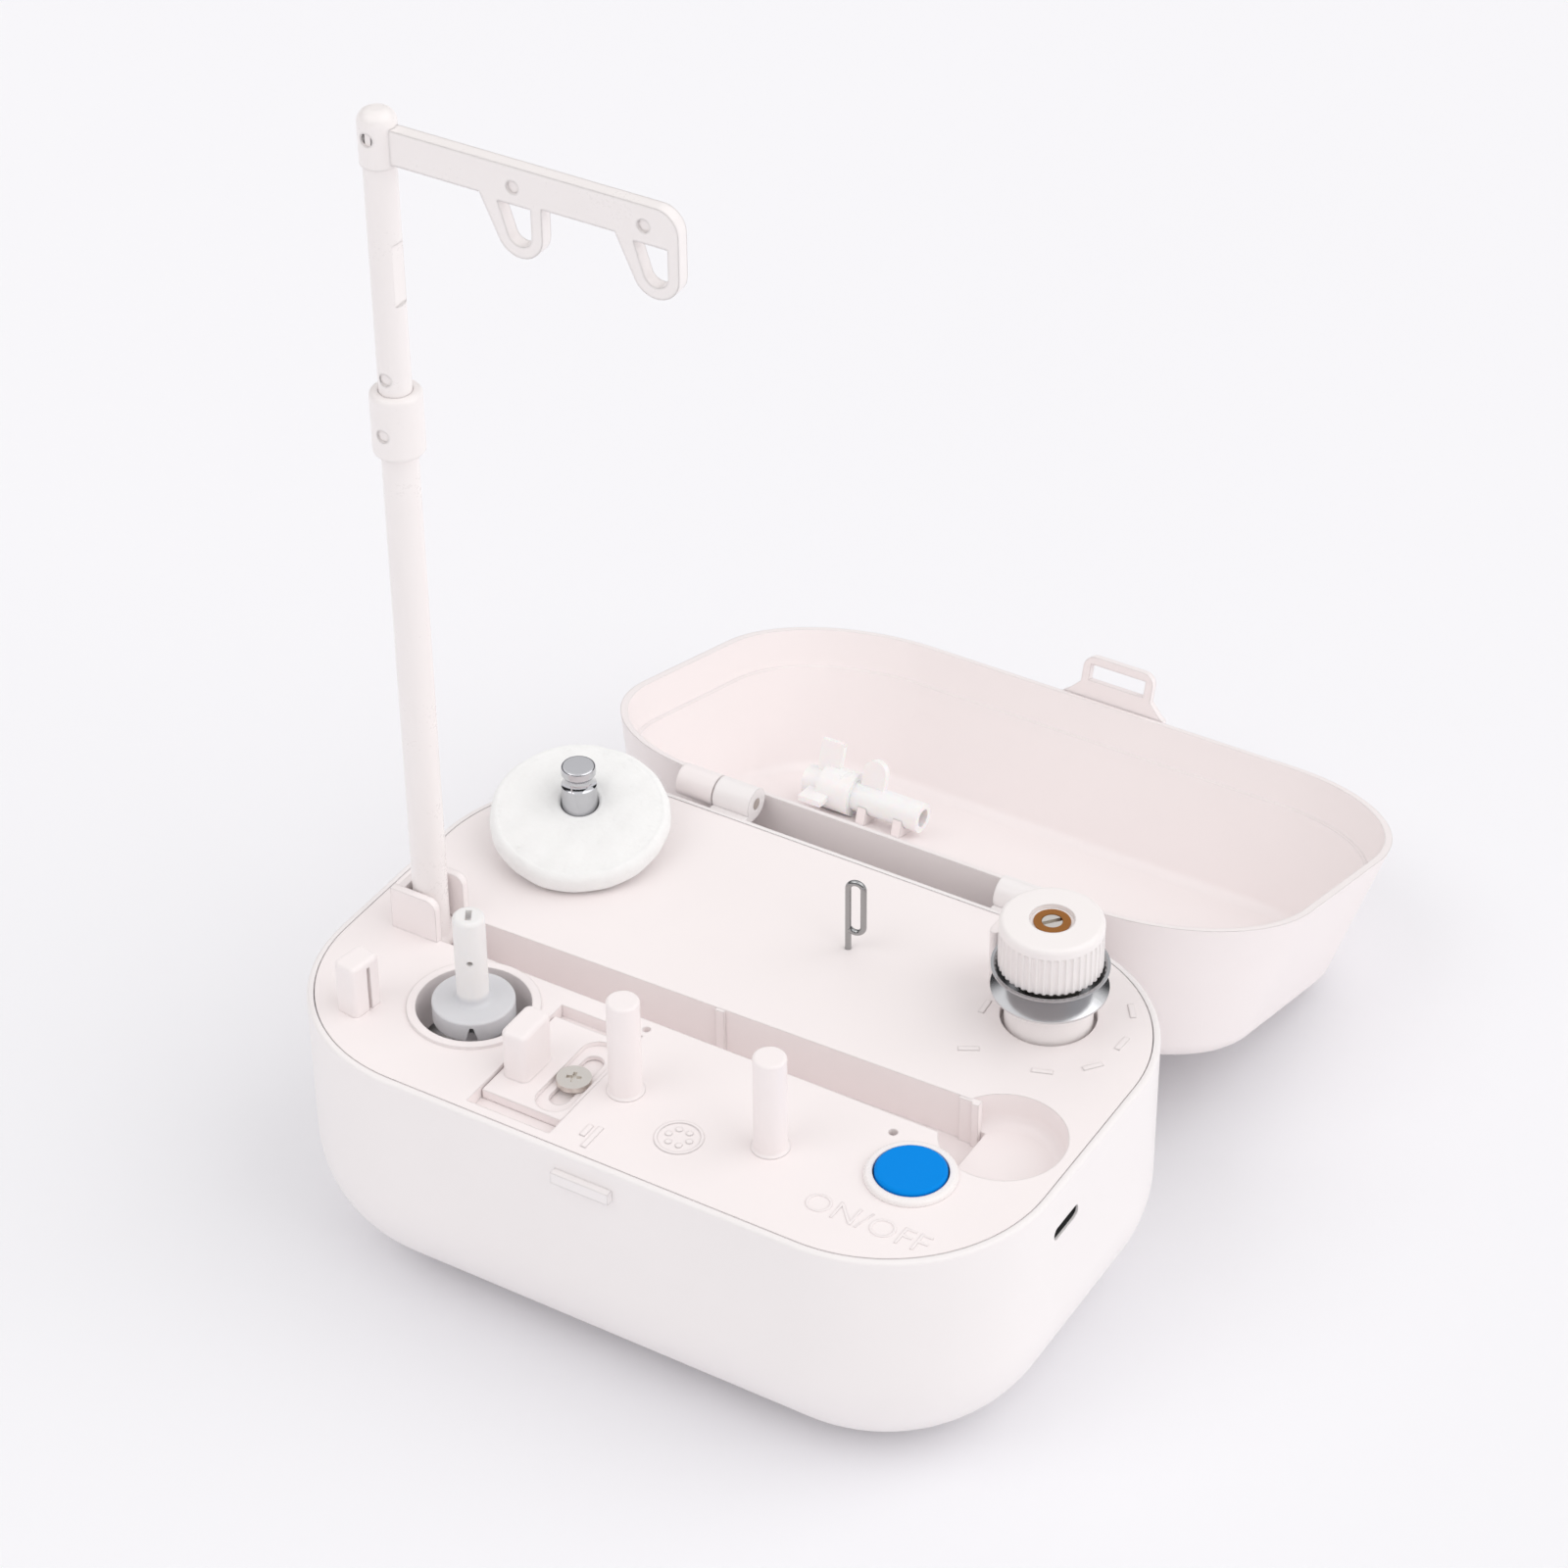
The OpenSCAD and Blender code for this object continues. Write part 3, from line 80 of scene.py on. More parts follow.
PIN_LOW, PIN_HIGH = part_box("spool_pin")
PIN_MIDDLE = (PIN_LOW + PIN_HIGH) / 2
RIM_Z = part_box("button_bezel")[0].z
PORT_LOW, PORT_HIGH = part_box("usb_socket")
PORT_MIDDLE = (PORT_LOW + PORT_HIGH) / 2
WORD_CORNER = (36.2 * MM, -37.6 * MM)
LETTER_SIZE = 6.2 * MM
FIBRE_STEPS, FIBRE_SIDES = 6, 3
FLOOR_REACH, FLOOR_LINES = 4, 9
CAMERA_PLACE = (0.3065, -0.4880, 0.5269)
CAMERA_BACK, CAMERA_RIGHT = (0.4155, -0.6863, 0.597), (0.858, 0.5136, -0.0067)
CAMERA_SENSOR, CAMERA_LENS = 36.0, 100.25
KEY_FROM, KEY_SPREAD = (0.85, 0.25, 0.75), 70
FILL_FROM, FILL_SPREAD = (-0.3, -0.5, 0.8), 35
BACKDROP = (0.97, 0.97, 0.985)


# Settings that a user would change


class WinderColours(bpy.types.PropertyGroup):
    """Colours of the winder's mouldings, button and felt."""

    case: bpy.props.FloatVectorProperty(
        name="Case", description="Off-white of the case",
        subtype="COLOR", size=3, default=(0.925, 0.885, 0.883), min=0, max=1)
    deck: bpy.props.FloatVectorProperty(
        name="Deck", description="Warmer off-white of the deck and the lid",
        subtype="COLOR", size=3, default=(0.950, 0.885, 0.882), min=0, max=1)
    mast: bpy.props.FloatVectorProperty(
        name="Mast", description="Off-white of the mast and its guide",
        subtype="COLOR", size=3, default=(0.935, 0.890, 0.882), min=0, max=1)
    nylon: bpy.props.FloatVectorProperty(
        name="Nylon", description="Cooler white of the spindle and the pulleys",
        subtype="COLOR", size=3, default=(0.88, 0.865, 0.86), min=0, max=1)
    button: bpy.props.FloatVectorProperty(
        name="Button", description="Blue of the button",
        subtype="COLOR", size=3, default=(0.0, 0.255, 0.80), min=0, max=1)
    felt: bpy.props.FloatVectorProperty(
        name="Felt", description="White of the felt disc",
        subtype="COLOR", size=3, default=(0.975, 0.968, 0.955), min=0, max=1)


class WinderSizes(bpy.types.PropertyGroup):
    """Sizes of the soft felt, the port's dark lining of painted shade and the raised word."""

    felt_radius: bpy.props.FloatProperty(
        name="Felt radius", description="Radius of the felt disc",
        subtype="DISTANCE", unit="LENGTH", default=16.3 * MM, min=12 * MM, max=16.4 * MM)
    felt_thick: bpy.props.FloatProperty(
        name="Felt thickness", description="Thickness of the felt disc",
        subtype="DISTANCE", unit="LENGTH", default=4.5 * MM, min=1 * MM, max=5 * MM)
    felt_hole: bpy.props.FloatProperty(
        name="Felt hole", description="Radius of the hole that the pin passes through",
        subtype="DISTANCE", unit="LENGTH", default=3.42 * MM, min=3.38 * MM, max=4.3 * MM)
    felt_lean: bpy.props.FloatProperty(
        name="Felt lean", description="How far the felt sits aslant on the pin",
        subtype="ANGLE", unit="ROTATION", default=math.radians(13.0), min=0, max=0.3)
    felt_turn: bpy.props.FloatProperty(
        name="Felt turn", description="Direction of the line that the felt leans about",
        subtype="ANGLE", unit="ROTATION", default=math.radians(31.2), min=-3.2, max=3.2)
    felt_aside: bpy.props.FloatProperty(
        name="Felt offset", description="How far the disc sits off the pin's middle, down its slope",
        subtype="DISTANCE", unit="LENGTH", default=1.2 * MM, min=0, max=2 * MM)
    felt_crown: bpy.props.FloatProperty(
        name="Felt crown", description="How much higher the felt stands half way out than at its edge",
        subtype="DISTANCE", unit="LENGTH", default=0.35 * MM, min=0, max=1 * MM)
    felt_edge: bpy.props.FloatProperty(
        name="Felt edge", description="Radius that rounds the felt's outer edge",
        subtype="DISTANCE", unit="LENGTH", default=1.5 * MM, min=0.2 * MM, max=2 * MM)
    felt_lumps: bpy.props.FloatProperty(
        name="Felt lumps", description="Height of the felt's soft unevenness",
        subtype="DISTANCE", unit="LENGTH", default=0.16 * MM, min=0, max=0.5 * MM)
    fibre_count: bpy.props.IntProperty(
        name="Fibres", description="Number of loose fibres on the felt",
        default=1500, min=0, max=4000)
    # The port's width and height size a dark lining that is painted shade inside the port's mouth.
    port_wide: bpy.props.FloatProperty(
        name="Port width", description="Width of the dark lining of the port's mouth",
        subtype="DISTANCE", unit="LENGTH", default=8.2 * MM, min=7 * MM, max=8.25 * MM)
    port_tall: bpy.props.FloatProperty(
        name="Port height", description="Height of the dark lining of the port's mouth",
        subtype="DISTANCE", unit="LENGTH", default=2.4 * MM, min=2 * MM, max=2.45 * MM)
    word_width: bpy.props.FloatProperty(
        name="Word width", description="Length of the raised word beside the button",
        subtype="DISTANCE", unit="LENGTH", default=22.5 * MM, min=10 * MM, max=30 * MM)
    word_rise: bpy.props.FloatProperty(
        name="Word rise", description="How far the raised word stands out of the deck",
        subtype="DISTANCE", unit="LENGTH", default=0.10 * MM, min=0.05 * MM, max=0.5 * MM)


class WinderStudio(bpy.types.PropertyGroup):
    """Light of the plain studio."""

    key: bpy.props.FloatProperty(
        name="Key light", description="Strength of the wide soft light at the right",
        default=0.90, min=0, max=10)
    fill: bpy.props.FloatProperty(
        name="Fill light", description="Strength of the high soft light at the near left",
        default=0.34, min=0, max=10)
    sky: bpy.props.FloatProperty(
        name="Room light", description="Strength of the light from all round",
        default=0.75, min=0, max=2)
    floor: bpy.props.FloatVectorProperty(
        name="Floor", description="Pale colour of the floor",
        subtype="COLOR", size=3, default=(0.92, 0.917, 0.945), min=0, max=1)


# Shader maths


class Wire:
    """A socket whose sums and products add Math nodes to its own tree."""

    def __init__(self, shop, socket):
        self.shop, self.socket = shop, socket

    def maths(self, operation, first, second):
        return self.shop.node("ShaderNodeMath", {"operation": operation}, {0: first, 1: second})

    def __add__(self, other):
        return self.maths("ADD", self, other)

    def __sub__(self, other):
        return self.maths("SUBTRACT", self, other)

    def __mul__(self, other):
        return self.maths("MULTIPLY", self, other)

    __radd__ = __add__
    __rmul__ = __mul__


class Finish:
    """A material with one Principled shader, and one method that adds any other node."""

    def __init__(self, name, **constants):
        self.material = bpy.data.materials.new(name)
        self.material.use_nodes = True
        self.tree = self.material.node_tree
        self.shader = self.tree.nodes["Principled BSDF"]
        for socket, value in constants.items():
            self.shader.inputs[socket.replace("_", " ").title().replace("Ior", "IOR")].default_value = value

    def node(self, kind, settings=None, sockets=None, out=0):
        """Adds a node: its settings first, a ramp's stops among them, then its sockets' values or links."""
        made = self.tree.nodes.new(kind)
        for name, value in (settings or {}).items():
            if name == "stops":
                while len(made.color_ramp.elements) < len(value):
                    made.color_ramp.elements.new(0.5)
                for stop, (place, colour) in zip(made.color_ramp.elements, value):
                    stop.position, stop.color = place, (*colour, 1)
            else:
                setattr(made, name, value)
        for name, value in (sockets or {}).items():
            if isinstance(value, Wire):
                self.tree.links.new(value.socket, made.inputs[name])
            else:
                made.inputs[name].default_value = value
        return Wire(self, made.outputs[out])

    def place(self):
        """Object coordinates, in metres."""
        return self.node("ShaderNodeTexCoord", out="Object")

    def noise(self, scale, detail=3, rough=0.5, stretch=(1, 1, 1)):
        """A cloudy value of about 0.5, with the given number of waves to the metre."""
        where = self.node("ShaderNodeMapping", {}, {"Vector": self.place(), "Scale": stretch})
        return self.node("ShaderNodeTexNoise", {}, {
            "Vector": where, "Scale": scale, "Detail": detail, "Roughness": rough}, "Fac")

    def blend(self, share, first, second):
        """A colour between two colours."""
        return self.node("ShaderNodeMix", {"data_type": "RGBA"}, {
            0: share, 6: (*first, 1) if isinstance(first, tuple) else first,
            7: (*second, 1) if isinstance(second, tuple) else second}, 2)

    def feed(self, name, wire):
        """Links a value that changes over the surface to the shader."""
        self.tree.links.new(wire.socket, self.shader.inputs[name])

    def bump(self, height, strength, depth, soft=0):
        """Turns a height into the shader's normal, over edges that look softened by the given radius."""
        sockets = {"Height": height, "Strength": strength, "Distance": depth}
        if soft:
            sockets["Normal"] = self.node("ShaderNodeBevel", {"samples": 4}, {"Radius": soft}, "Normal")
        self.feed("Normal", self.node("ShaderNodeBump", {}, sockets, "Normal"))


def tint(colour, factor):
    """The colour made lighter or darker, with each channel kept inside 0 to 1."""
    return tuple(min(1.0, c * factor) for c in colour)


def moulded_plastic(name, colour, rough, grain=0.06, coat=0.0, grain_scale=2600, soft=0.4 * MM, gloss=0.45):
    """A moulding: faint clouds in its colour, a fine sparked grain, and patches rubbed smoother."""
    f = Finish(name, specular_ior_level=gloss, coat_roughness=0.25)
    clouds, fine, rubbed = f.noise(34, 4), f.noise(grain_scale, 2, 0.6), f.noise(90, 5, 0.65)
    f.feed("Base Color", f.blend(clouds, tint(colour, 0.975), tint(colour, 1.02)))
    f.feed("Roughness", rough + 0.16 * (rubbed - 0.5) + 0.10 * (fine - 0.5))
    if coat:
        f.feed("Coat Weight", coat + 0.1 * (clouds - 0.5))
    f.bump(fine + 0.35 * rubbed, grain, 0.06 * MM, soft)
    return f.material


def milky_nylon(name, colour, rough, well_shade=None, low=0, high=1):
    """Nylon that lets a little light in, with faint flow clouds, and a darker grey below a height as painted
    shade of the well.
    """
    f = Finish(name, specular_ior_level=0.5, subsurface_weight=0.12, subsurface_scale=0.0012)
    f.shader.inputs["Subsurface Radius"].default_value = (1.0, 0.9, 0.8)
    clouds, fine = f.noise(120, 4), f.noise(2200, 2)
    shade = f.blend(clouds, tint(colour, 0.97), tint(colour, 1.02))
    # Below the given heights the colour turns to a darker grey: painted shade of the well that the spindle
    # stands in.
    if well_shade:
        rise = f.node("ShaderNodeSeparateXYZ", {}, {0: f.place()}, "Z")
        above = f.node("ShaderNodeMapRange", {}, {"Value": rise, "From Min": low, "From Max": high})
        shade = f.blend(above, well_shade, shade)
    f.feed("Base Color", shade)
    f.feed("Roughness", rough + 0.14 * (clouds - 0.5))
    f.bump(fine, 0.05, 0.05 * MM, 0.3 * MM)
    return f.material


def frosted_clear(name):
    """Frosted clear plastic of the spool adapter."""
    f = Finish(name, transmission_weight=0.05, ior=1.46, specular_ior_level=0.5, subsurface_weight=0.25,
               subsurface_scale=0.002)
    clouds, fine = f.noise(160, 3), f.noise(1800, 2)
    f.feed("Base Color", f.blend(clouds, (0.98, 0.975, 0.975), (0.995, 0.99, 0.99)))
    f.feed("Roughness", 0.30 + 0.16 * (clouds - 0.5))
    f.bump(fine, 0.08, 0.05 * MM)
    return f.material


def polished_metal(name, colour, rough, stretch=(1, 1, 1), scratch=0.05):
    """Plated or polished metal: faint turning marks, tiny pits and smears in its gloss."""
    f = Finish(name, metallic=1.0)
    marks, smears = f.noise(900, 3, 0.6, stretch), f.noise(130, 4)
    f.feed("Base Color", f.blend(smears, tint(colour, 0.94), tint(colour, 1.03)))
    f.feed("Roughness", rough + 0.10 * (smears - 0.5) + 0.08 * (marks - 0.5))
    f.bump(marks, scratch, 0.03 * MM)
    return f.material


def black_rubber(name):
    """Matt rubber with a dusty bloom."""
    f = Finish(name, specular_ior_level=0.3)
    bloom, fine = f.noise(70, 5), f.noise(1500, 3)
    f.feed("Base Color", f.blend(bloom, (0.018, 0.018, 0.019), (0.045, 0.045, 0.047)))
    f.feed("Roughness", 0.74 + 0.2 * (bloom - 0.5))
    f.bump(fine, 0.25, 0.1 * MM)
    return f.material


def green_board(name):
    """Solder-masked board with faint copper lands under the mask."""
    f = Finish(name, coat_roughness=0.1)
    lands, clouds = f.noise(420, 1, 0.4, (1, 3, 1)), f.noise(60, 3)
    f.feed("Base Color", f.blend(lands, (0.01, 0.10, 0.04), (0.03, 0.20, 0.08)))
    f.feed("Roughness", 0.35 + 0.15 * (clouds - 0.5))
    return f.material


def pressed_felt(name, colour):
    """White felt: matted fibres of several lengths, soft hollows with painted shade in them, and a matt nap.
    """
    f = Finish(name, specular_ior_level=0.12, sheen_weight=0.35, sheen_roughness=0.6)
    strands = f.noise(1500, 6, 0.72, (1, 0.45, 1)) * 0.5 + f.noise(1500, 6, 0.72, (0.45, 1, 1)) * 0.5
    hollows = f.noise(210, 4, 0.6)
    # Colour and bump height come from almost the same mix, so the felt is darker where it is low: fibre
    # tone, plus painted shade in the hollows.
    f.feed("Base Color", f.blend(strands * 0.6 + hollows * 0.4, tint(colour, 0.90), tint(colour, 1.08)))
    f.feed("Roughness", 0.93 + 0.1 * (hollows - 0.5))
    f.bump(strands * 0.7 + hollows * 0.5, 0.55, 0.35 * MM)
    return f.material


# Surfaces


def grid_faces(rows, columns, wrap_rows, wrap_columns):
    """Quads of a grid of points counted row by row, joined end to end where it wraps."""
    r = np.arange(rows if wrap_rows else rows - 1)
    c = np.arange(columns if wrap_columns else columns - 1)
    r, c = np.meshgrid(r, c, indexing="ij")
    r2, c2 = (r + 1) % rows, (c + 1) % columns
    corners = [r * columns + c, r * columns + c2, r2 * columns + c2, r2 * columns + c]
    return np.stack(corners, -1).reshape(-1, 4)


def surface_piece(name, points, quads, material, body, smooth=True):
    """A mesh object at the origin from arrays of points and of quads, riding on a body."""
    mesh = bpy.data.meshes.new(name)
    mesh.vertices.add(len(points))
    mesh.vertices.foreach_set("co", np.ascontiguousarray(points, np.float32).ravel())
    mesh.loops.add(quads.size)
    mesh.loops.foreach_set("vertex_index", np.ascontiguousarray(quads, np.int32).ravel())
    mesh.polygons.add(len(quads))
    mesh.polygons.foreach_set("loop_start", np.arange(0, quads.size, 4, dtype=np.int32))
    mesh.polygons.foreach_set("use_smooth", np.full(len(quads), smooth))
    mesh.update(calc_edges=True)
    mesh.validate()
    piece = bpy.data.objects.new(name, mesh)
    bpy.context.scene.collection.objects.link(piece)
    mesh.materials.append(material)
    if body:
        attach(piece, body)
    return piece


def body_of_node(node):
    """The body that the record puts a node in."""
    for body, nodes in frame["record"]["behaviour"]["bodies"].items():
        if node in nodes:
            return body
    raise RuntimeError("no body holds " + node)


def felt_height(x, y, lumps):
    """Soft unevenness of the felt: six crossing waves of unlike lengths, summed and scaled."""
    waves = [(410, 130, 0.3), (-220, 370, 1.7), (640, 520, 2.9),
             (-760, 330, 4.1), (950, -880, 0.8), (180, -900, 5.3)]
    total = sum(np.sin(a * x + b * y + c) for a, b, c in waves)
    return lumps * total / 3.2


def felt_outline(turn):
    """How far the felt's cut edge wanders from a true circle, as a share of its radius."""
    return 0.006 * np.sin(3 * turn + 0.6) + 0.004 * np.sin(7 * turn + 2.1) + 0.0025 * np.sin(17 * turn + 4.0)


def lay_felt(points, settings):
    """Points of a flat felt about the origin, leant over and set on the spool pin. Near its hole each point
    moves down the slope by its height times the lean's tangent, so the hole stays upright about the pin, and
    further out the disc moves aside as a whole."""
    lean, turn = settings.felt_lean, settings.felt_turn
    about_x = np.array(Matrix.Rotation(lean, 3, "X"))
    about_z = np.array(Matrix.Rotation(turn, 3, "Z"))
    rise = RIM_Z + (settings.felt_radius + settings.felt_aside) * math.sin(lean) + 0.12 * MM
    out = np.hypot(points[:, 0], points[:, 1])
    loose = np.clip((out - settings.felt_hole) / (9 * MM), 0, 1)
    laid = points.copy()
    laid[:, 1] += (1 - loose) * math.tan(lean) * points[:, 2] - loose * settings.felt_aside
    return laid @ (about_z @ about_x).T + np.array([PIN_MIDDLE.x, PIN_MIDDLE.y, rise])


def felt_points(settings, turns=240, steps=28):
    """The felt as a closed ring: a profile of bottom, rounded edge, crowned top and drawn-in hole, carried
    round the spool pin, with its edge wandering a little and its top uneven."""
    outer, low, high, hole = settings.felt_radius * 0.992, 0.02 * MM, settings.felt_thick, settings.felt_hole
    edge = settings.felt_edge
    bend = np.linspace(-math.pi / 2, math.pi / 2, steps)
    run = np.linspace(0, 1, steps)
    bottom = np.stack([hole + 0.5 * MM + run * (outer - edge - hole - 0.5 * MM), np.full(steps, low)], 1)
    swell = np.sign(np.sin(bend)) * np.abs(np.sin(bend)) ** 0.8
    rim = np.stack([outer - edge + edge * np.cos(bend), (low + high) / 2 + (high - low) / 2 * swell], 1)
    back = run[::-1]
    top_r = hole + 0.8 * MM + back * (outer - edge - hole - 0.8 * MM)
    top = np.stack([top_r, high + settings.felt_crown * np.sin(math.pi * back) ** 0.8 - 0.05 * MM], 1)
    lip = np.stack([hole + 0.8 * MM * (1 - np.sin(run * math.pi / 2)),
                    high - 0.05 * MM - 0.7 * MM * (1 - np.cos(run * math.pi / 2))], 1)
    wall = np.stack([hole + 0.5 * MM * run ** 3, high - 0.75 * MM + run * (low - high + 0.75 * MM)], 1)
    profile = np.concatenate([bottom[:-1], rim[:-1], top[:-1], lip[:-1], wall[:-1]])
    turn = np.linspace(0, 2 * math.pi, turns, endpoint=False)
    r = profile[None, :, 0] * (1 + felt_outline(turn)[:, None] * (profile[None, :, 0] / outer) ** 3)
    x, y = r * np.cos(turn)[:, None], r * np.sin(turn)[:, None]
    share = np.clip((profile[:, 1] - low) / (high - low), 0, 1)[None, :]
    away = np.clip((profile[None, :, 0] - hole) / (2.5 * MM), 0, 1)
    z = profile[None, :, 1] + share * away * felt_height(x, y, settings.felt_lumps)
    points = np.stack([x, y, np.broadcast_to(z, x.shape)], -1).reshape(-1, 3)
    return lay_felt(points, settings), grid_faces(turns, len(profile), True, True)


def fibre_points(count, settings):
    """Loose fibres: each a tapering three-sided tube along a bent path that starts in the felt's edge or
    top and leans outwards, all worked out as one array."""
    dice = np.random.default_rng(7)
    outer, high = settings.felt_radius * 0.985, settings.felt_thick
    turn = dice.uniform(0, 2 * math.pi, count)
    at_edge = dice.random(count) < 0.62
    r = np.where(at_edge, outer - dice.uniform(0.0, 0.9, count) * MM,
                 np.sqrt(dice.uniform(0.09, 0.93, count)) * outer)
    height = np.where(at_edge, dice.uniform(0.15, 0.85, count) * high, high + 0.05 * MM)
    out = np.stack([np.cos(turn), np.sin(turn), np.zeros(count)], 1)
    side = np.stack([-np.sin(turn), np.cos(turn), np.zeros(count)], 1)
    up = np.array([[0.0, 0.0, 1.0]])
    lean = dice.uniform(-1.2, 1.2, (count, 1))
    way = np.where(at_edge[:, None], 0.55 * out + lean * side + 0.25 * up * dice.uniform(-1, 1, (count, 1)),
                   dice.uniform(-1, 1, (count, 1)) * out + lean * side + 0.16 * up)
    way /= np.linalg.norm(way, axis=1, keepdims=True)
    curl = np.cross(way, dice.normal(size=(count, 3)))
    long = dice.uniform(0.7, 1.9, (count, 1, 1)) * MM
    step = np.linspace(0, 1, FIBRE_STEPS)[None, :, None]
    root = out * r[:, None] + up * height[:, None]
    path = root[:, None] + long * (step * way[:, None] + 0.32 * step ** 2 * curl[:, None])
    first = np.cross(way, up + 0.01)
    first /= np.linalg.norm(first, axis=1, keepdims=True)
    second = np.cross(way, first)
    corner = np.arange(FIBRE_SIDES) * 2 * math.pi / FIBRE_SIDES
    ring = (np.cos(corner)[None, :, None] * first[:, None] + np.sin(corner)[None, :, None] * second[:, None])
    thick = 0.016 * MM * (1 - 0.7 * step)
    points = path[:, :, None, :] + thick[..., None] * ring[:, None]
    first_point = np.arange(count) * FIBRE_STEPS * FIBRE_SIDES
    quads = grid_faces(FIBRE_STEPS, FIBRE_SIDES, False, True)[None] + first_point[:, None, None]
    return lay_felt(points.reshape(-1, 3), settings), quads.reshape(-1, 4)


def port_points(settings, turns=96):
    """The dark lining of the port's mouth, painted shade inside the recess: a thin closed ring whose outline
    is a slot with round ends, carried from the socket out to just inside the case's face."""
    back, front = PORT_HIGH.x + 0.05 * MM, CAD_HIGH.x - 0.35 * MM
    turn = np.linspace(0, 2 * math.pi, turns, endpoint=False)
    middle = np.clip(2.2 * np.cos(turn), -1, 1)
    ends = np.cos(turn) * np.abs(np.cos(turn)) ** 0.2
    section = ((back, 0), (front - 0.15 * MM, 0), (front, 0.08 * MM), (front, 0.2 * MM), (back, 0.28 * MM))
    rows = []
    for x, thin in section:
        tall, wide = settings.port_tall / 2 - thin, settings.port_wide / 2 - thin
        y = PORT_MIDDLE.y + ((wide - tall) * middle + tall * ends)
        rows.append(np.stack([np.full(turns, x), y, PORT_MIDDLE.z + tall * np.sin(turn)], -1))
    return np.stack(rows).reshape(-1, 3), grid_faces(len(section), turns, True, True)


# Operators


class PieceOperator:
    """What the operators share: their settings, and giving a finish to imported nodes."""

    bl_options = {"REGISTER", "UNDO"}

    @property
    def colours(self):
        return bpy.context.scene.winder_colours

    @property
    def sizes(self):
        return bpy.context.scene.winder_sizes

    def give(self, material, *nodes):
        for name in nodes:
            piece = NODES[name]
            if not piece.material_slots:
                piece.data.materials.append(material)
            for slot in piece.material_slots:
                slot.material = material


class WINDER_OT_case(PieceOperator, bpy.types.Operator):
    """Gives the case, deck, lid and slider the finish of off-white mouldings"""

    bl_idname = "winder.case"
    bl_label = "Case, deck and lid"

    def execute(self, context):
        colour, deck = tuple(self.colours.case), tuple(self.colours.deck)
        self.give(moulded_plastic("case_moulding", colour, 0.36, 0.06, 0.10), "base_shell")
        self.give(moulded_plastic("deck_moulding", deck, 0.40, 0.07, 0.08), "deck", "stop_slider",
                  "thread_pegs", "thread_fin", "cutter_block")
        self.give(moulded_plastic("lid_moulding", tint(deck, 0.99), 0.38, 0.06, 0.10), "lid")
        self.give(black_rubber("pad_rubber"), "rubber_pad", "drive_belt")
        return {"FINISHED"}


class WINDER_OT_mast(PieceOperator, bpy.types.Operator):
    """Gives the thread mast and its guide a smoother moulded finish"""

    bl_idname = "winder.mast"
    bl_label = "Thread mast"

    def execute(self, context):
        colour = tuple(self.colours.mast)
        self.give(moulded_plastic("mast_moulding", colour, 0.30, 0.04, 0.15, 1800, 0.7 * MM),
                  "mast_tube", "mast_collar", "guide_rod", "guide_arm")
        return {"FINISHED"}


class WINDER_OT_nylon(PieceOperator, bpy.types.Operator):
    """Gives the spindle, pulleys, knob and bezel their nylon, and the adapter its frosted plastic"""

    bl_idname = "winder.nylon"
    bl_label = "Nylon and clear pieces"

    def execute(self, context):
        colour, knob = tuple(self.colours.nylon), tuple(self.colours.mast)
        # The lower part of the spindle gets a darker grey: painted shade of the well around its flange.
        flange_painted_shade = (0.70, 0.70, 0.725)
        self.give(milky_nylon("spindle_nylon", colour, 0.38, flange_painted_shade, RIM_Z + 2.9 * MM, RIM_Z + 4 * MM),
                  "bobbin_spindle")
        self.give(milky_nylon("pulley_nylon", tint(colour, 0.98), 0.38), "spindle_pulley", "motor_pulley")
        self.give(moulded_plastic("knob_moulding", knob, 0.34, 0.05, 0.1), "tension_knob", "tension_post")
        self.give(moulded_plastic("bezel_moulding", knob, 0.28, 0.03, 0.2), "button_bezel")
        self.give(frosted_clear("adapter_frosted"), "spool_adapter", "power_led")
        self.give(moulded_plastic("switch_body", (0.02, 0.02, 0.022), 0.5), "push_switch")
        return {"FINISHED"}


class WINDER_OT_button(PieceOperator, bpy.types.Operator):
    """Gives the button its blue"""

    bl_idname = "winder.button"
    bl_label = "Button"

    def execute(self, context):
        colour = tuple(self.colours.button)
        self.give(moulded_plastic("button_blue", colour, 0.5, 0.05, 0.0, 2200, gloss=0.06), "button")
        return {"FINISHED"}


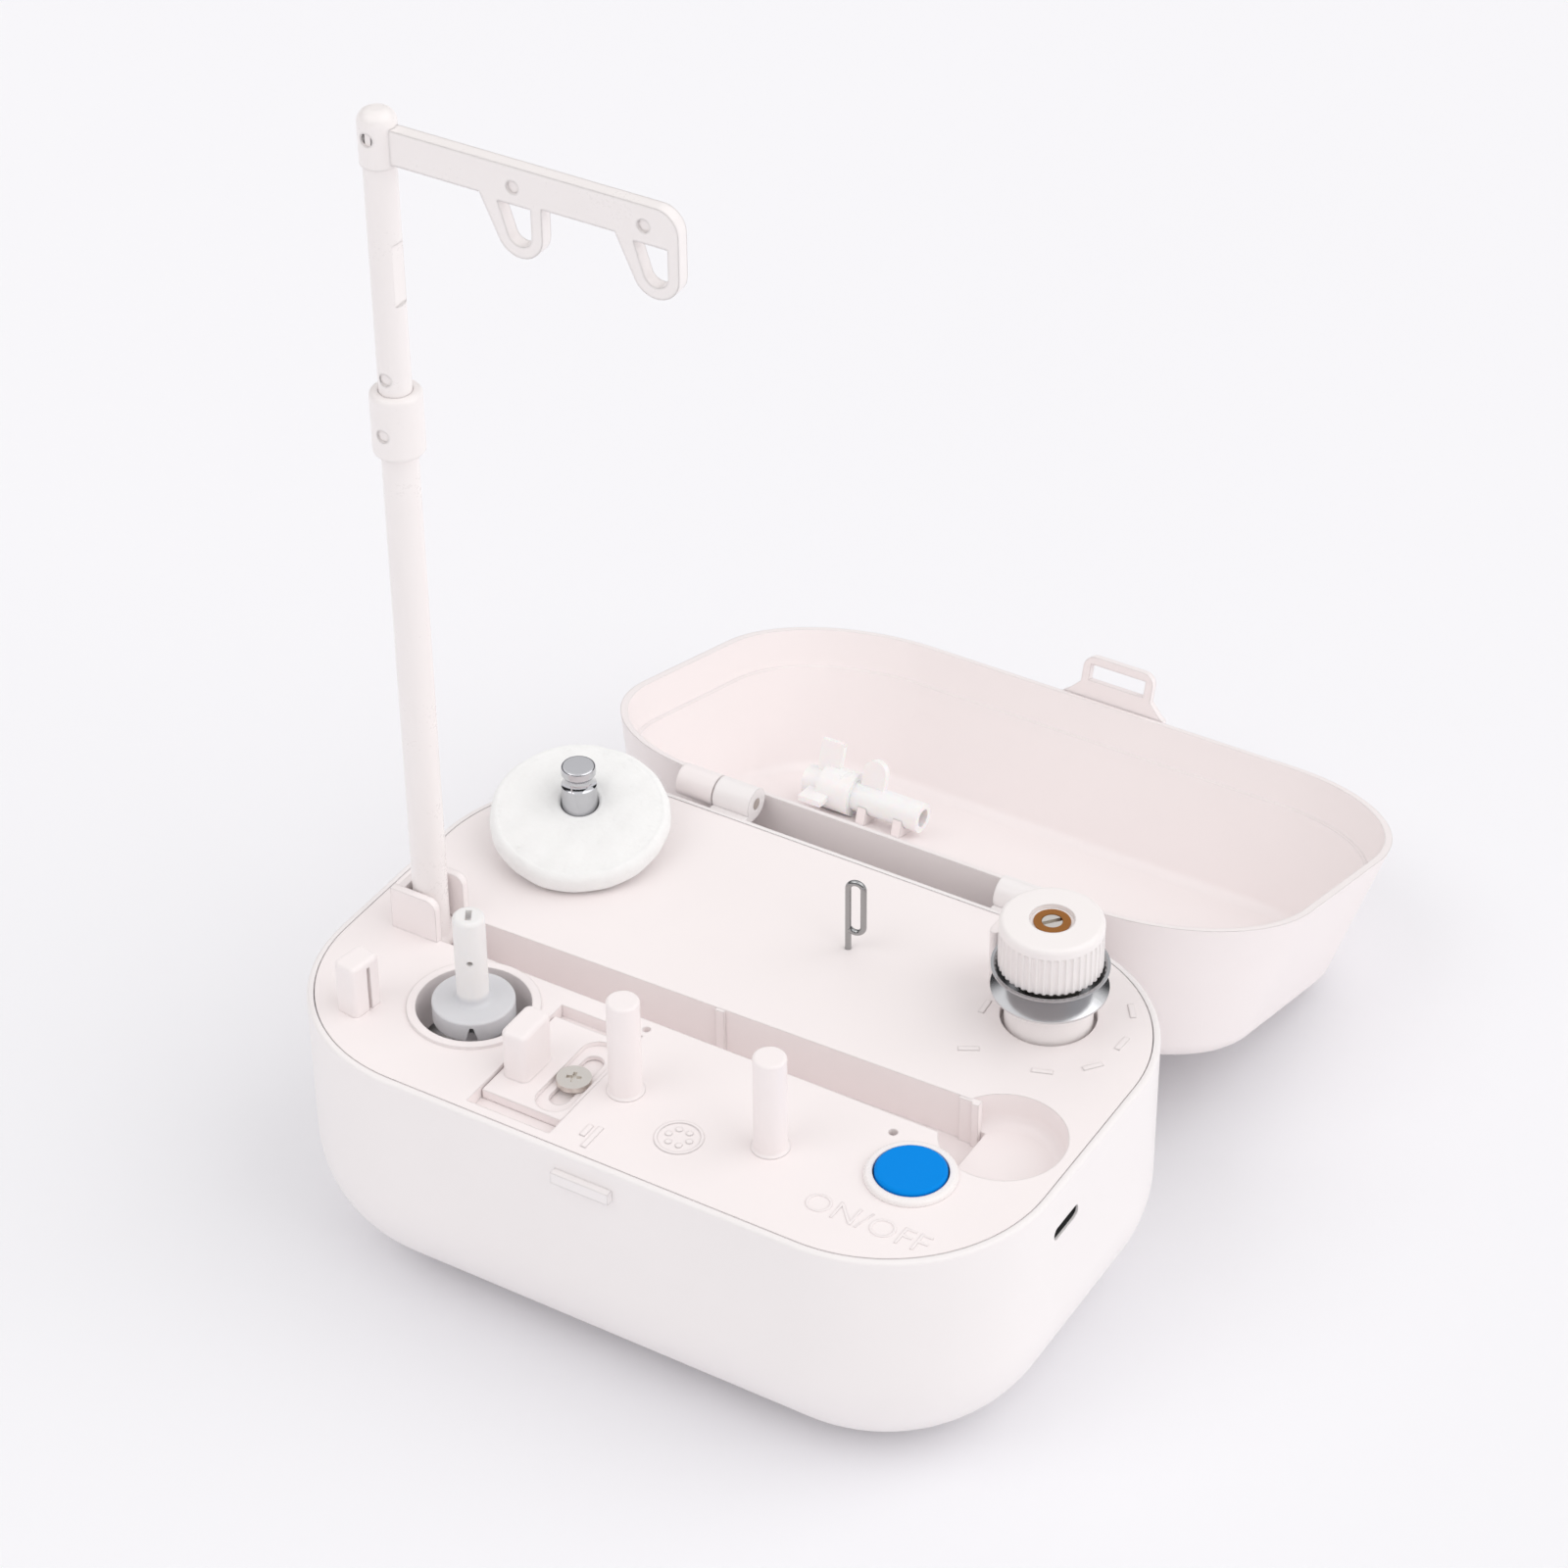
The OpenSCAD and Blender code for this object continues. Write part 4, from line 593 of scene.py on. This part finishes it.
class WINDER_OT_metal(PieceOperator, bpy.types.Operator):
    """Gives the pins, discs, screws, wire, motor and brass their metals"""

    bl_idname = "winder.metal"
    bl_label = "Metal pieces"

    def execute(self, context):
        self.give(polished_metal("bright_chrome", (0.60, 0.60, 0.62), 0.10, (1, 1, 6), 0.03), "spool_pin")
        self.give(polished_metal("satin_chrome", (0.66, 0.66, 0.67), 0.20, (1, 1, 6), 0.015),
                  "tension_disc_lower")
        # The upper disc is the same chrome in a darker colour: painted dark reflection and shade under the
        # knob.
        self.give(polished_metal("chrome_painted_dark_reflection", (0.42, 0.42, 0.43), 0.14, (1, 1, 6), 0.03),
                  "tension_disc_upper")
        self.give(polished_metal("drawn_wire", (0.40, 0.40, 0.40), 0.24, (1, 1, 0.2), 0.06), "wire_guide")
        self.give(polished_metal("screw_steel", (0.80, 0.76, 0.71), 0.36, (1, 1, 1), 0.08),
                  "case_screws", "stop_screw", "motor_screws", "board_screws", "tension_stud", "hinge_pins",
                  "mast_pivot_pin", "cutter_blade", "tension_spring", "spindle_shaft", "motor_shaft")
        self.give(polished_metal("motor_can", (0.46, 0.46, 0.47), 0.36, (1, 1, 0.1), 0.05),
                  "motor", "motor_bracket")
        # The socket's metal is made near black: painted shade deep in the port's mouth.
        self.give(polished_metal("socket_painted_shade", (0.05, 0.05, 0.052), 0.40, (1, 1, 1), 0.05), "usb_socket")
        self.give(polished_metal("turned_brass", (0.42, 0.175, 0.05), 0.30, (1, 1, 1), 0.05),
                  "knob_nut", "spindle_bushes")
        self.give(green_board("board_mask"), "circuit_board")
        return {"FINISHED"}


class WINDER_OT_felt(PieceOperator, bpy.types.Operator):
    """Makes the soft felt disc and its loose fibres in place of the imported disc"""

    bl_idname = "winder.felt"
    bl_label = "Felt disc"

    def execute(self, context):
        material = pressed_felt("white_felt", tuple(self.colours.felt))
        body = body_of_node("spool_felt")
        felt = surface_piece("felt_disc", *felt_points(self.sizes), material, body)
        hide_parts("spool_felt")
        strands = fibre_points(self.sizes.fibre_count, self.sizes)
        fibres = surface_piece("felt_fibres", *strands, material, body)
        return {"FINISHED"}


class WINDER_OT_port(PieceOperator, bpy.types.Operator):
    """Makes the dark lining of the port's mouth, a sheet of painted shade inside the recess"""

    bl_idname = "winder.port"
    bl_label = "Port lining"

    def execute(self, context):
        # A near-black sheet in the port's mouth: painted shade of the recess.
        lining = surface_piece("port_painted_shade", *port_points(self.sizes),
                               moulded_plastic("port_shade_black", (0.012, 0.012, 0.013), 0.55, soft=0, gloss=0.2),
                               body_of_node("usb_socket"))
        return {"FINISHED"}


class WINDER_OT_word(PieceOperator, bpy.types.Operator):
    """Makes the raised word beside the button"""

    bl_idname = "winder.word"
    bl_label = "Raised word"

    def execute(self, context):
        curve = bpy.data.curves.new("switch_word", "FONT")
        curve.body = "ON/OFF"
        curve.size = LETTER_SIZE
        curve.extrude = self.sizes.word_rise
        curve.bevel_depth = 0.06 * MM
        curve.bevel_resolution = 1
        curve.offset = -0.09 * MM
        curve.resolution_u = 6
        letters = bpy.data.objects.new("switch_word", curve)
        bpy.context.scene.collection.objects.link(letters)
        bpy.context.view_layer.update()
        mesh = bpy.data.meshes.new_from_object(letters.evaluated_get(bpy.context.evaluated_depsgraph_get()))
        bpy.data.objects.remove(letters)
        spots = np.empty(len(mesh.vertices) * 3, np.float32)
        mesh.vertices.foreach_get("co", spots)
        spots = spots.reshape(-1, 3)
        low, high = spots.min(0), spots.max(0)
        spots[:, 0] = (spots[:, 0] - low[0]) * self.sizes.word_width / (high[0] - low[0]) + WORD_CORNER[0]
        spots[:, 1] = spots[:, 1] - low[1] + WORD_CORNER[1]
        spots[:, 2] += RIM_Z
        mesh.vertices.foreach_set("co", spots.ravel())
        mesh.update()
        mesh.materials.clear()
        mesh.materials.append(moulded_plastic("word_moulding", tuple(self.colours.deck), 0.36))
        word = bpy.data.objects.new("switch_word", mesh)
        bpy.context.scene.collection.objects.link(word)
        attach(word, body_of_node("deck"))
        return {"FINISHED"}


class WINDER_OT_stage(bpy.types.Operator):
    """Makes the pale floor, the soft lamps, the room light and the camera"""

    bl_idname = "winder.stage"
    bl_label = "Studio"

    def floor(self, colour):
        """A wide flat sheet just under the winder."""
        finish = Finish("floor_paper", specular_ior_level=0.1)
        clouds = finish.noise(3.0, 2)
        finish.feed("Base Color", finish.blend(clouds, tint(colour, 0.99), tint(colour, 1.01)))
        finish.shader.inputs["Roughness"].default_value = 0.9
        across = np.linspace(-FLOOR_REACH, FLOOR_REACH, FLOOR_LINES)
        x, y = np.meshgrid(across, across, indexing="ij")
        points = np.stack([x, y, np.full(x.shape, -0.15 * MM)], -1).reshape(-1, 3)
        quads = grid_faces(FLOOR_LINES, FLOOR_LINES, False, False)[:, ::-1]
        sheet = surface_piece("floor_sheet", points, quads, finish.material, None)

    def lamp(self, name, place, strength, spread):
        """A distant soft light that shines from the given direction."""
        light = bpy.data.lights.new(name, "SUN")
        light.energy, light.angle = strength, math.radians(spread)
        made = bpy.data.objects.new(name, light)
        made.location = place
        made.rotation_euler = Vector(place).to_track_quat("Z", "Y").to_euler()
        bpy.context.scene.collection.objects.link(made)

    def room(self, strength, backdrop):
        """Even room light. The camera, mirrors and clear pieces see the backdrop instead: white at the
        floor's edge, a dim band where the room is dark above it, and a white ceiling."""
        world = bpy.data.worlds.new("studio_room")
        bpy.context.scene.world = world
        world.use_nodes = True
        shop = Finish.__new__(Finish)
        shop.tree = world.node_tree
        where = shop.node("ShaderNodeTexCoord", out="Generated")
        rise = shop.node("ShaderNodeSeparateXYZ", {}, {0: where}, "Z")
        dim = shop.node("ShaderNodeValToRGB", {"stops": [
            (0.05, (0, 0, 0)), (0.16, (1, 1, 1)), (0.44, (1, 1, 1)), (0.62, (0, 0, 0))]}, {"Fac": rise})
        path = shop.node("ShaderNodeLightPath", out="Is Camera Ray")
        rays = path.socket.node.outputs
        seen = path + Wire(shop, rays["Is Glossy Ray"]) + Wire(shop, rays["Is Transmission Ray"])
        lights = ((backdrop, 1.0), ((0.03, 0.03, 0.033), 1.0), ((1.0, 0.99, 0.985), strength))
        plain = [shop.node("ShaderNodeBackground", {}, {"Color": (*colour, 1), "Strength": value})
                 for colour, value in lights]
        shown = shop.node("ShaderNodeMixShader", {}, {0: dim, 1: plain[0], 2: plain[1]})
        lit = shop.node("ShaderNodeMixShader", {}, {0: seen, 1: plain[2], 2: shown})
        shop.tree.links.new(lit.socket, shop.tree.nodes["World Output"].inputs[0])

    def camera(self):
        """The photograph's viewpoint: its place, its three axes and its focal length."""
        data = bpy.data.cameras.new("studio_camera")
        data.sensor_width, data.lens = CAMERA_SENSOR, CAMERA_LENS
        data.clip_start, data.clip_end = 0.05, 20
        made = bpy.data.objects.new("studio_camera", data)
        back = Vector(CAMERA_BACK).normalized()
        right = Vector(CAMERA_RIGHT)
        right = (right - back * right.dot(back)).normalized()
        up = back.cross(right)
        turned = Matrix((right, up, back)).transposed().to_4x4()
        made.matrix_world = Matrix.Translation(CAMERA_PLACE) @ turned
        bpy.context.scene.collection.objects.link(made)
        bpy.context.scene.camera = made

    def execute(self, context):
        studio = context.scene.winder_studio
        context.scene.view_settings.view_transform = "Standard"
        self.floor(tuple(studio.floor))
        self.lamp("key_lamp", KEY_FROM, studio.key, KEY_SPREAD)
        self.lamp("fill_lamp", FILL_FROM, studio.fill, FILL_SPREAD)
        self.room(studio.sky, BACKDROP)
        self.camera()
        return {"FINISHED"}


class WINDER_PT_panel(bpy.types.Panel):
    """Lists the winder's pieces and settings"""

    bl_idname = "WINDER_PT_panel"
    bl_label = "Bobbin winder"
    bl_space_type = "VIEW_3D"
    bl_region_type = "UI"
    bl_category = "Winder"

    def draw(self, context):
        for group in (context.scene.winder_colours, context.scene.winder_sizes, context.scene.winder_studio):
            box = self.layout.box()
            for name in group.__annotations__:
                box.prop(group, name)
        for piece in PIECES:
            self.layout.operator(piece.bl_idname)


GROUPS = {"winder_colours": WinderColours, "winder_sizes": WinderSizes, "winder_studio": WinderStudio}
PIECES = (WINDER_OT_case, WINDER_OT_mast, WINDER_OT_nylon, WINDER_OT_button, WINDER_OT_metal, WINDER_OT_felt,
          WINDER_OT_port, WINDER_OT_word, WINDER_OT_stage)


def register():
    for group in (*GROUPS.values(), *PIECES, WINDER_PT_panel):
        bpy.utils.register_class(group)
    for name, group in GROUPS.items():
        setattr(bpy.types.Scene, name, bpy.props.PointerProperty(type=group))


def unregister():
    for name in GROUPS:
        delattr(bpy.types.Scene, name)
    for group in (WINDER_PT_panel, *reversed(PIECES), *GROUPS.values()):
        bpy.utils.unregister_class(group)


def main():
    register()
    for piece in PIECES:
        group, name = piece.bl_idname.split(".")
        getattr(getattr(bpy.ops, group), name)()


if __name__ == "__main__":
    main()
